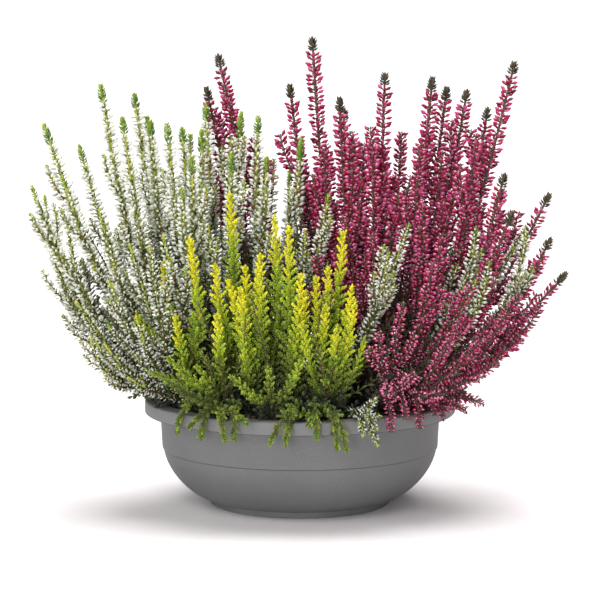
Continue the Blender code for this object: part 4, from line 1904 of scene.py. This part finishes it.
    def flowering_shoot(self, shoot: Shoot, has_twigs: bool = True) -> None:
        """A white or magenta shoot: dark twigs below, buds above and a leafy tip.

        Args:
            shoot: the shoot.
            has_twigs: whether it carries twigs.
        """
        dress = shoot.habit.dress
        length = shoot.path.length
        bare = self.lateral_start if shoot.is_lateral else self.planting.bare_length(shoot, length)
        tip = min(self.random.uniform(*dress.tip_length), 0.25 * length) * self.tip_size(shoot)
        neck = dress.tip_neck
        if self.ends_in_buds(shoot):
            tip, neck = dress.lateral_tip, 0.0
        self.stem(shoot, length - self.stem_short, self.lateral_bark if shoot.is_lateral else 1.0)
        self.buds(shoot, bare, length - tip - neck)
        self.leafy_tip(shoot, length - tip)
        if not has_twigs:
            return
        reach = dress.twig_reach * length
        distances = np.arange(4.0, reach, dress.twig_step)
        count = len(distances)
        turns = GOLDEN_TURN * np.arange(count) + self.random.uniform(0.0, 6.3)
        share = distances / reach
        low, high = dress.twig_length
        lengths = (high - (high - low) * share) * self.random.uniform(0.7, 1.1, count)
        leans = self.twig_lean + self.wobble(0.2, count)
        shades = unit(0.08 + 0.25 * share + self.wobble(0.08, count))
        self.twigs(self.shapes.twig, shoot, distances, turns, lengths, leans, shades)

    def leafy_shoot(self, shoot: Shoot) -> None:
        """A yellow-leaved shoot: opposite fingers all the way up, short at its tip.

        Args:
            shoot: the shoot.
        """
        dress = shoot.habit.dress
        length = shoot.path.length
        bright = self.brightness(shoot)
        self.stem(shoot, length - self.stem_short, self.shaded_bark if bright < 0.5 else 1.0)
        start = 2.0 if shoot.parent is None else 5.0
        distances, turns = self.pairs(start, length - 2.5, dress.twig_step)
        count = len(distances)
        from_tip = length - distances
        low, high = dress.twig_length
        grown = unit(from_tip / self.finger_reach) ** 0.75
        lengths = (low + (high - low) * grown) * self.random.uniform(0.75, 1.15, count)
        leans = self.finger_lean + 0.28 * grown + self.wobble(0.12, count)
        fading = unit((from_tip - self.bright_tip) / self.bright_reach) ** 0.72
        shades = bright * self.random.uniform(0.92, 1.05) * (1.0 - fading)
        least = self.trailing_shade if self.plan.trails else self.body_shade
        shades = np.clip(shades + self.wobble(0.07, count), least, 1.0)
        for shape, own in self.shapes.fingers(lengths):
            rows = (row[own] for row in (distances, turns, lengths, leans, shades))
            self.twigs(shape, shoot, *rows)
        self.leafy_tip(shoot, length - dress.tip_length[0], bright)

    def skirt(self, shoot: Shoot) -> None:
        """Long low twigs round the main shoot's foot, which spread over the soil.

        Args:
            shoot: the main shoot.
        """
        count = self.skirt_twigs
        distances = np.sort(self.random.uniform(0.5, self.skirt_reach, count))
        turns = FULL_TURN * np.arange(count) / count + self.random.uniform(0.0, 6.3)
        lengths = self.random.uniform(*self.skirt_length, count)
        leans = self.random.uniform(*self.skirt_leans, count)
        # Painted shade: the skirt's twigs take the darkest shades, partly for old leaves and partly for the
        # shade low in the bush.
        shades = self.random.uniform(0.0, 0.2, count)
        self.twigs(self.shapes.twig, shoot, distances, turns, lengths, leans, shades)

    def undergrowth(self, shoot: Shoot) -> None:
        """Dark leafy shoots without flowers that come up round the main shoot.

        Args:
            shoot: the main shoot.
        """
        foot, middle = shoot.path.at(np.array([3.0, 0.45 * shoot.path.length]))[0]
        toward = (middle - foot) / np.linalg.norm(middle - foot)
        highest = max(0.62 * (shoot.tip[2] - foot[2]), self.basal_least)
        for _ in range(self.basal_shoots + (self.more_behind if foot[1] > BEHIND else 0)):
            rise = min(self.random.uniform(*self.basal_height), highest)
            start = foot + (*self.wobble(3.0, 2), -6.0)
            way = 0.6 * toward + np.array((*self.wobble(0.2, 2), 0.55))
            bow = np.array((*self.wobble(0.14, 2), 0.0))
            line = [start + rise * (t * way + t * (1 - t) * bow) for t in np.linspace(0, 1, 6)]
            self.leafy_twig(self.small_shoot(shoot, line))

    def leafy_twig(self, shoot: Shoot) -> None:
        """A thin stem along a shoot's line, set with plain dark leaves.

        Args:
            shoot: its line.
        """
        self.stem(shoot, shoot.path.length - 0.5, self.basal_bark)
        distances, turns = self.pairs(self.basal_bare, shoot.path.length, self.basal_step)
        frames = shoot.path.at(distances)
        count = len(distances)
        ways, out = self.turned_out(frames, turns, self.basal_lean + self.wobble(0.2, count))
        long = self.basal_leaf * self.random.uniform(0.75, 1.2, count)
        sizes = np.stack([0.25 * long, 0.44 * long, long], axis=1)
        share = distances / shoot.path.length
        # Painted shade: these leaves stay near the darkest shade, partly for old inner leaves and partly for
        # the shade deep in the bush.
        shades = unit(0.02 + 0.25 * share**2 + self.wobble(0.06, count))
        free = self.planting.clear_of_rim(frames[0], ways * long[:, None])
        self.faces.add_copies(self.shapes.leaf, frames[0], ways, out, sizes, shades, free)

    def build(self, materials: list) -> bpy.types.Object:
        """Dresses every shoot and makes the piece.

        Args:
            materials: one for each part.

        Returns:
            The spray's piece.
        """
        fillers = [self.side_line(tip) for tip in FILLERS.get(self.plan.name, ())]
        for tip in BARE_TWIGS.get(self.plan.name, ()):
            self.leafy_twig(self.side_line(tip))
        for shoot in self.shoots + fillers:
            if shoot.habit is Habit.YELLOW:
                self.leafy_shoot(shoot)
                continue
            self.flowering_shoot(shoot)
            is_low = shoot.habit is Habit.MAGENTA and shoot.tip[2] < LOW_FLOWERS
            for _ in range(1 if is_low else shoot.habit.dress.laterals):
                distance = shoot.path.length * self.random.uniform(*self.lateral_from)
                self.flowering_shoot(self.lateral(shoot, distance), has_twigs=False)
        self.skirt(self.shoots[0])
        self.undergrowth(self.shoots[0])
        return self.faces.piece(f"dressed_{self.plan.name}", materials)


@dataclass
class Soil:
    """The potting soil: a crumbly mound that fills the bowl."""

    bowl: Bowl
    planting: Planting
    gap: float = 0.35
    rings: int = 34
    sides: int = 96
    lumps: float = 0.9
    crumbs: int = 900
    crumb_size: tuple = (0.7, 2.6)
    crumb_edge: float = 2.5
    seed: int = 77

    def mound(self) -> bmesh.types.BMesh:
        """The soil's body, uneven on top.

        Returns:
            The bmesh, in millimetres.
        """
        inset = self.bowl.wall + self.gap
        edge = self.bowl.step_radius - inset
        bottom = self.bowl.floor_thickness + self.gap
        profile = [(0.0, bottom), (self.bowl.foot_radius - inset, bottom)]
        profile += self.bowl.belly(inset)[::3] + [(edge, self.planting.soil_edge)]
        for k in range(1, self.rings):
            reach = edge * (1.0 - k / self.rings)
            profile.append((reach, self.planting.soil_height(reach, 0.0)))
        profile.append((0.0, self.planting.soil_height(0.0, 0.0)))
        bm = turned(profile, self.sides, merge=1e-4)
        for vert in bm.verts:
            x, y, z = vert.co
            if z > self.planting.soil_edge - 0.5 and math.hypot(x, y) < edge - 1.0:
                lump = math.sin(0.31 * x + 1.7 * math.sin(0.17 * y)) * math.cos(0.27 * y)
                vert.co.z += self.lumps * lump
        return bm

    def build(self) -> bpy.types.Object:
        """Makes the mound and strews crumbs over it.

        Returns:
            The soil's piece.
        """
        bm = self.mound()
        random = np.random.default_rng(self.seed)
        edge = self.bowl.step_radius - self.bowl.wall - self.gap - self.crumb_edge
        low, high = self.crumb_size
        for k in range(self.crumbs):
            reach = edge * math.sqrt((k + 0.5) / self.crumbs)
            x, y = reach * math.cos(GOLDEN_TURN * k), reach * math.sin(GOLDEN_TURN * k)
            size = low + (high - low) * random.random() ** 2.5
            rolled = Matrix.Rotation(6.28 * random.random(), 4, Vector(random.normal(size=3)))
            squashed = Matrix.Diagonal((*(size * random.uniform(0.35, 0.65, 3)), 1.0))
            place = Matrix.Translation((x, y, self.planting.soil_height(x, y) + 0.25 * size))
            bmesh.ops.create_icosphere(bm, subdivisions=1, radius=1.0, matrix=place @ rolled @ squashed)
        bmesh.ops.scale(bm, vec=(MM, MM, MM), verts=bm.verts)
        soil = object_from(bm, "dressed_potting_soil")
        soil.data.materials.append(SoilFinish().material())
        return soil


@dataclass(frozen=True)
class Sun:
    """One soft sun: how strong it is, how it is turned from straight down, and how wide it looks."""

    name: str
    strength: float
    turn: tuple
    spread: float

    def shine(self) -> None:
        """Puts the sun in the scene; its angles are in degrees."""
        data = bpy.data.lights.new(self.name, "SUN")
        data.energy = self.strength
        data.angle = math.radians(self.spread)
        linked(self.name, data).rotation_euler = [math.radians(angle) for angle in self.turn]


@dataclass
class Studio:
    """Plain pale floor, soft light from above and the photograph's camera."""

    camera_back: float = 1.8
    camera_height: float = 0.3658
    camera_dip: float = 0.119
    focal_length: float = 147.1
    sensor: float = 36.0
    farthest_seen: float = 1000.0
    floor_size: float = 24.0
    dome_radius: float = 11.0
    sky_strength: float = 0.32
    suns: tuple = (
        Sun("top", 3.6, (-14, 2, 0), 46),
        Sun("front", 1.35, (42, -34, 0), 46),
        Sun("fill", 1.3, (83, 0, -13), 14),
    )

    def floor(self) -> bpy.types.Object:
        """The pale floor, which is stage and not part of the object.

        Returns:
            The floor.
        """
        bm = bmesh.new()
        bmesh.ops.create_grid(bm, x_segments=1, y_segments=1, size=self.floor_size / 2)
        floor = object_from(bm, "studio_floor")
        maker = Maker("studio_floor")
        clouds = maker.noise(maker.object_place(), 1.5)
        colour = maker.mix(clouds, srgb(240, 235, 236), srgb(236, 231, 232))
        floor.data.materials.append(maker.finish(Base_Color=colour, Roughness=0.9))
        return floor

    def backdrop(self) -> bpy.types.Object:
        """A white dome behind everything, which lights nothing and is stage too.

        Returns:
            The dome.
        """
        bm = bmesh.new()
        bmesh.ops.create_uvsphere(bm, u_segments=48, v_segments=24, radius=self.dome_radius)
        bmesh.ops.reverse_faces(bm, faces=bm.faces)
        dome = object_from(bm, "studio_backdrop")
        looks = {"Base_Color": srgb(0, 0, 0), "Emission_Color": srgb(254, 254, 255), "Emission_Strength": 1.0}
        dome.data.materials.append(Maker("studio_backdrop").finish(**looks))
        dome.visible_diffuse = False
        dome.visible_glossy = False
        dome.visible_shadow = False
        return dome

    def light(self) -> None:
        """A pale sky all round, a soft sun overhead and two from the front, one high and one low."""
        scene = bpy.context.scene
        scene.view_settings.view_transform = "Standard"
        scene.world = bpy.data.worlds.new("studio")
        scene.world.use_nodes = True
        sky = scene.world.node_tree.nodes["Background"]
        sky.inputs["Color"].default_value = WHITE
        sky.inputs["Strength"].default_value = self.sky_strength
        for sun in self.suns:
            sun.shine()

    def camera(self) -> None:
        """The camera, at the photograph's viewing angle."""
        data = bpy.data.cameras.new("camera")
        data.lens = self.focal_length
        data.sensor_width = self.sensor
        data.clip_end = self.farthest_seen
        camera = linked("camera", data)
        camera.location = (0.0, -self.camera_back, self.camera_height)
        camera.rotation_euler = (0.5 * math.pi - self.camera_dip, 0.0, 0.0)
        bpy.context.scene.camera = camera


WHITE_BUDS = BudFinish(
    "white_buds", neck=srgb(150, 170, 72), dark=srgb(176, 180, 156), middle=srgb(248, 250, 232),
    pale=srgb(255, 255, 248), pale_edge_and_highlight=WHITE, pale_edge_and_highlight_share=0.6, under=srgb(204, 212, 172),
    painted_underside_share=0.35, roughness=0.55)
MAGENTA_BUDS = BudFinish(
    "magenta_buds", neck=srgb(100, 30, 48), dark=srgb(108, 12, 46), middle=srgb(176, 20, 72),
    pale=srgb(214, 80, 140), pale_edge_and_highlight=srgb(254, 212, 230), pale_edge_and_highlight_share=0.8, under=srgb(92, 8, 40),
    painted_underside_share=0.5, roughness=0.5)
FINISHES = {
    Habit.WHITE: (
        BarkFinish("white_stems", srgb(70, 54, 44), srgb(128, 90, 50), srgb(208, 206, 86)),
        LeafFinish("white_leaves", Part.LEAF, srgb(44, 50, 36), srgb(76, 104, 34), srgb(194, 206, 50),
                   srgb(160, 176, 70), 0.3),
        WHITE_BUDS,
        LeafFinish("white_tips", Part.TIP, srgb(66, 104, 34), srgb(112, 150, 44), srgb(164, 190, 58),
                   srgb(190, 206, 86), 0.35),
    ),
    Habit.MAGENTA: (
        BarkFinish("magenta_stems", srgb(80, 68, 60), srgb(94, 68, 56), srgb(106, 72, 58)),
        LeafFinish("magenta_leaves", Part.LEAF, srgb(82, 78, 68), srgb(94, 88, 64), srgb(118, 102, 68),
                   srgb(120, 110, 70), 0.35),
        MAGENTA_BUDS,
        LeafFinish("magenta_tips", Part.TIP, srgb(54, 46, 36), srgb(74, 66, 44), srgb(92, 84, 54),
                   srgb(116, 106, 70), 0.35),
    ),
    Habit.YELLOW: (
        BarkFinish("yellow_stems", srgb(74, 58, 44), srgb(138, 92, 42), srgb(196, 190, 46)),
        LeafFinish("yellow_leaves", Part.LEAF, srgb(44, 56, 38), srgb(166, 196, 48), srgb(255, 242, 34),
                   srgb(226, 222, 70), 0.3),
        WHITE_BUDS,
        LeafFinish("yellow_tips", Part.TIP, srgb(66, 116, 38), srgb(180, 198, 34), srgb(254, 236, 18),
                   srgb(250, 240, 70), 0.3),
    ),
}


def put_on(piece: bpy.types.Object, node: str) -> None:
    """Lets a piece stand for a node and ride on the body.

    Args:
        piece: the piece.
        node: the node that it stands for.
    """
    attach(piece, BODY)
    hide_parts(node)
    log.info("%s: %d faces", piece.name, len(piece.data.polygons))


def main() -> None:
    """Builds the bowl, the soil, every spray and the studio."""
    logging.basicConfig(level=logging.INFO, format="%(name)s %(message)s")
    bowl = Bowl()
    planting = Planting(bowl)
    put_on(bowl.build(), "bowl")
    put_on(Soil(bowl, planting).build(), "potting_soil")
    shoots = planting.grown()
    shapes = ShapeBox()
    materials = {habit: [finish.material() for finish in finishes] for habit, finishes in FINISHES.items()}
    for node, plan in enumerate(planting.plans):
        own = [shoot for shoot in shoots if shoot.node == node]
        spray = Spray(plan, own, planting, shapes, seed=FIRST_SEED + node)
        put_on(spray.build(materials[plan.habit]), plan.name)
    studio = Studio()
    studio.floor()
    studio.backdrop()
    studio.light()
    studio.camera()
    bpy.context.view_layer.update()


if __name__ == "__main__":
    main()
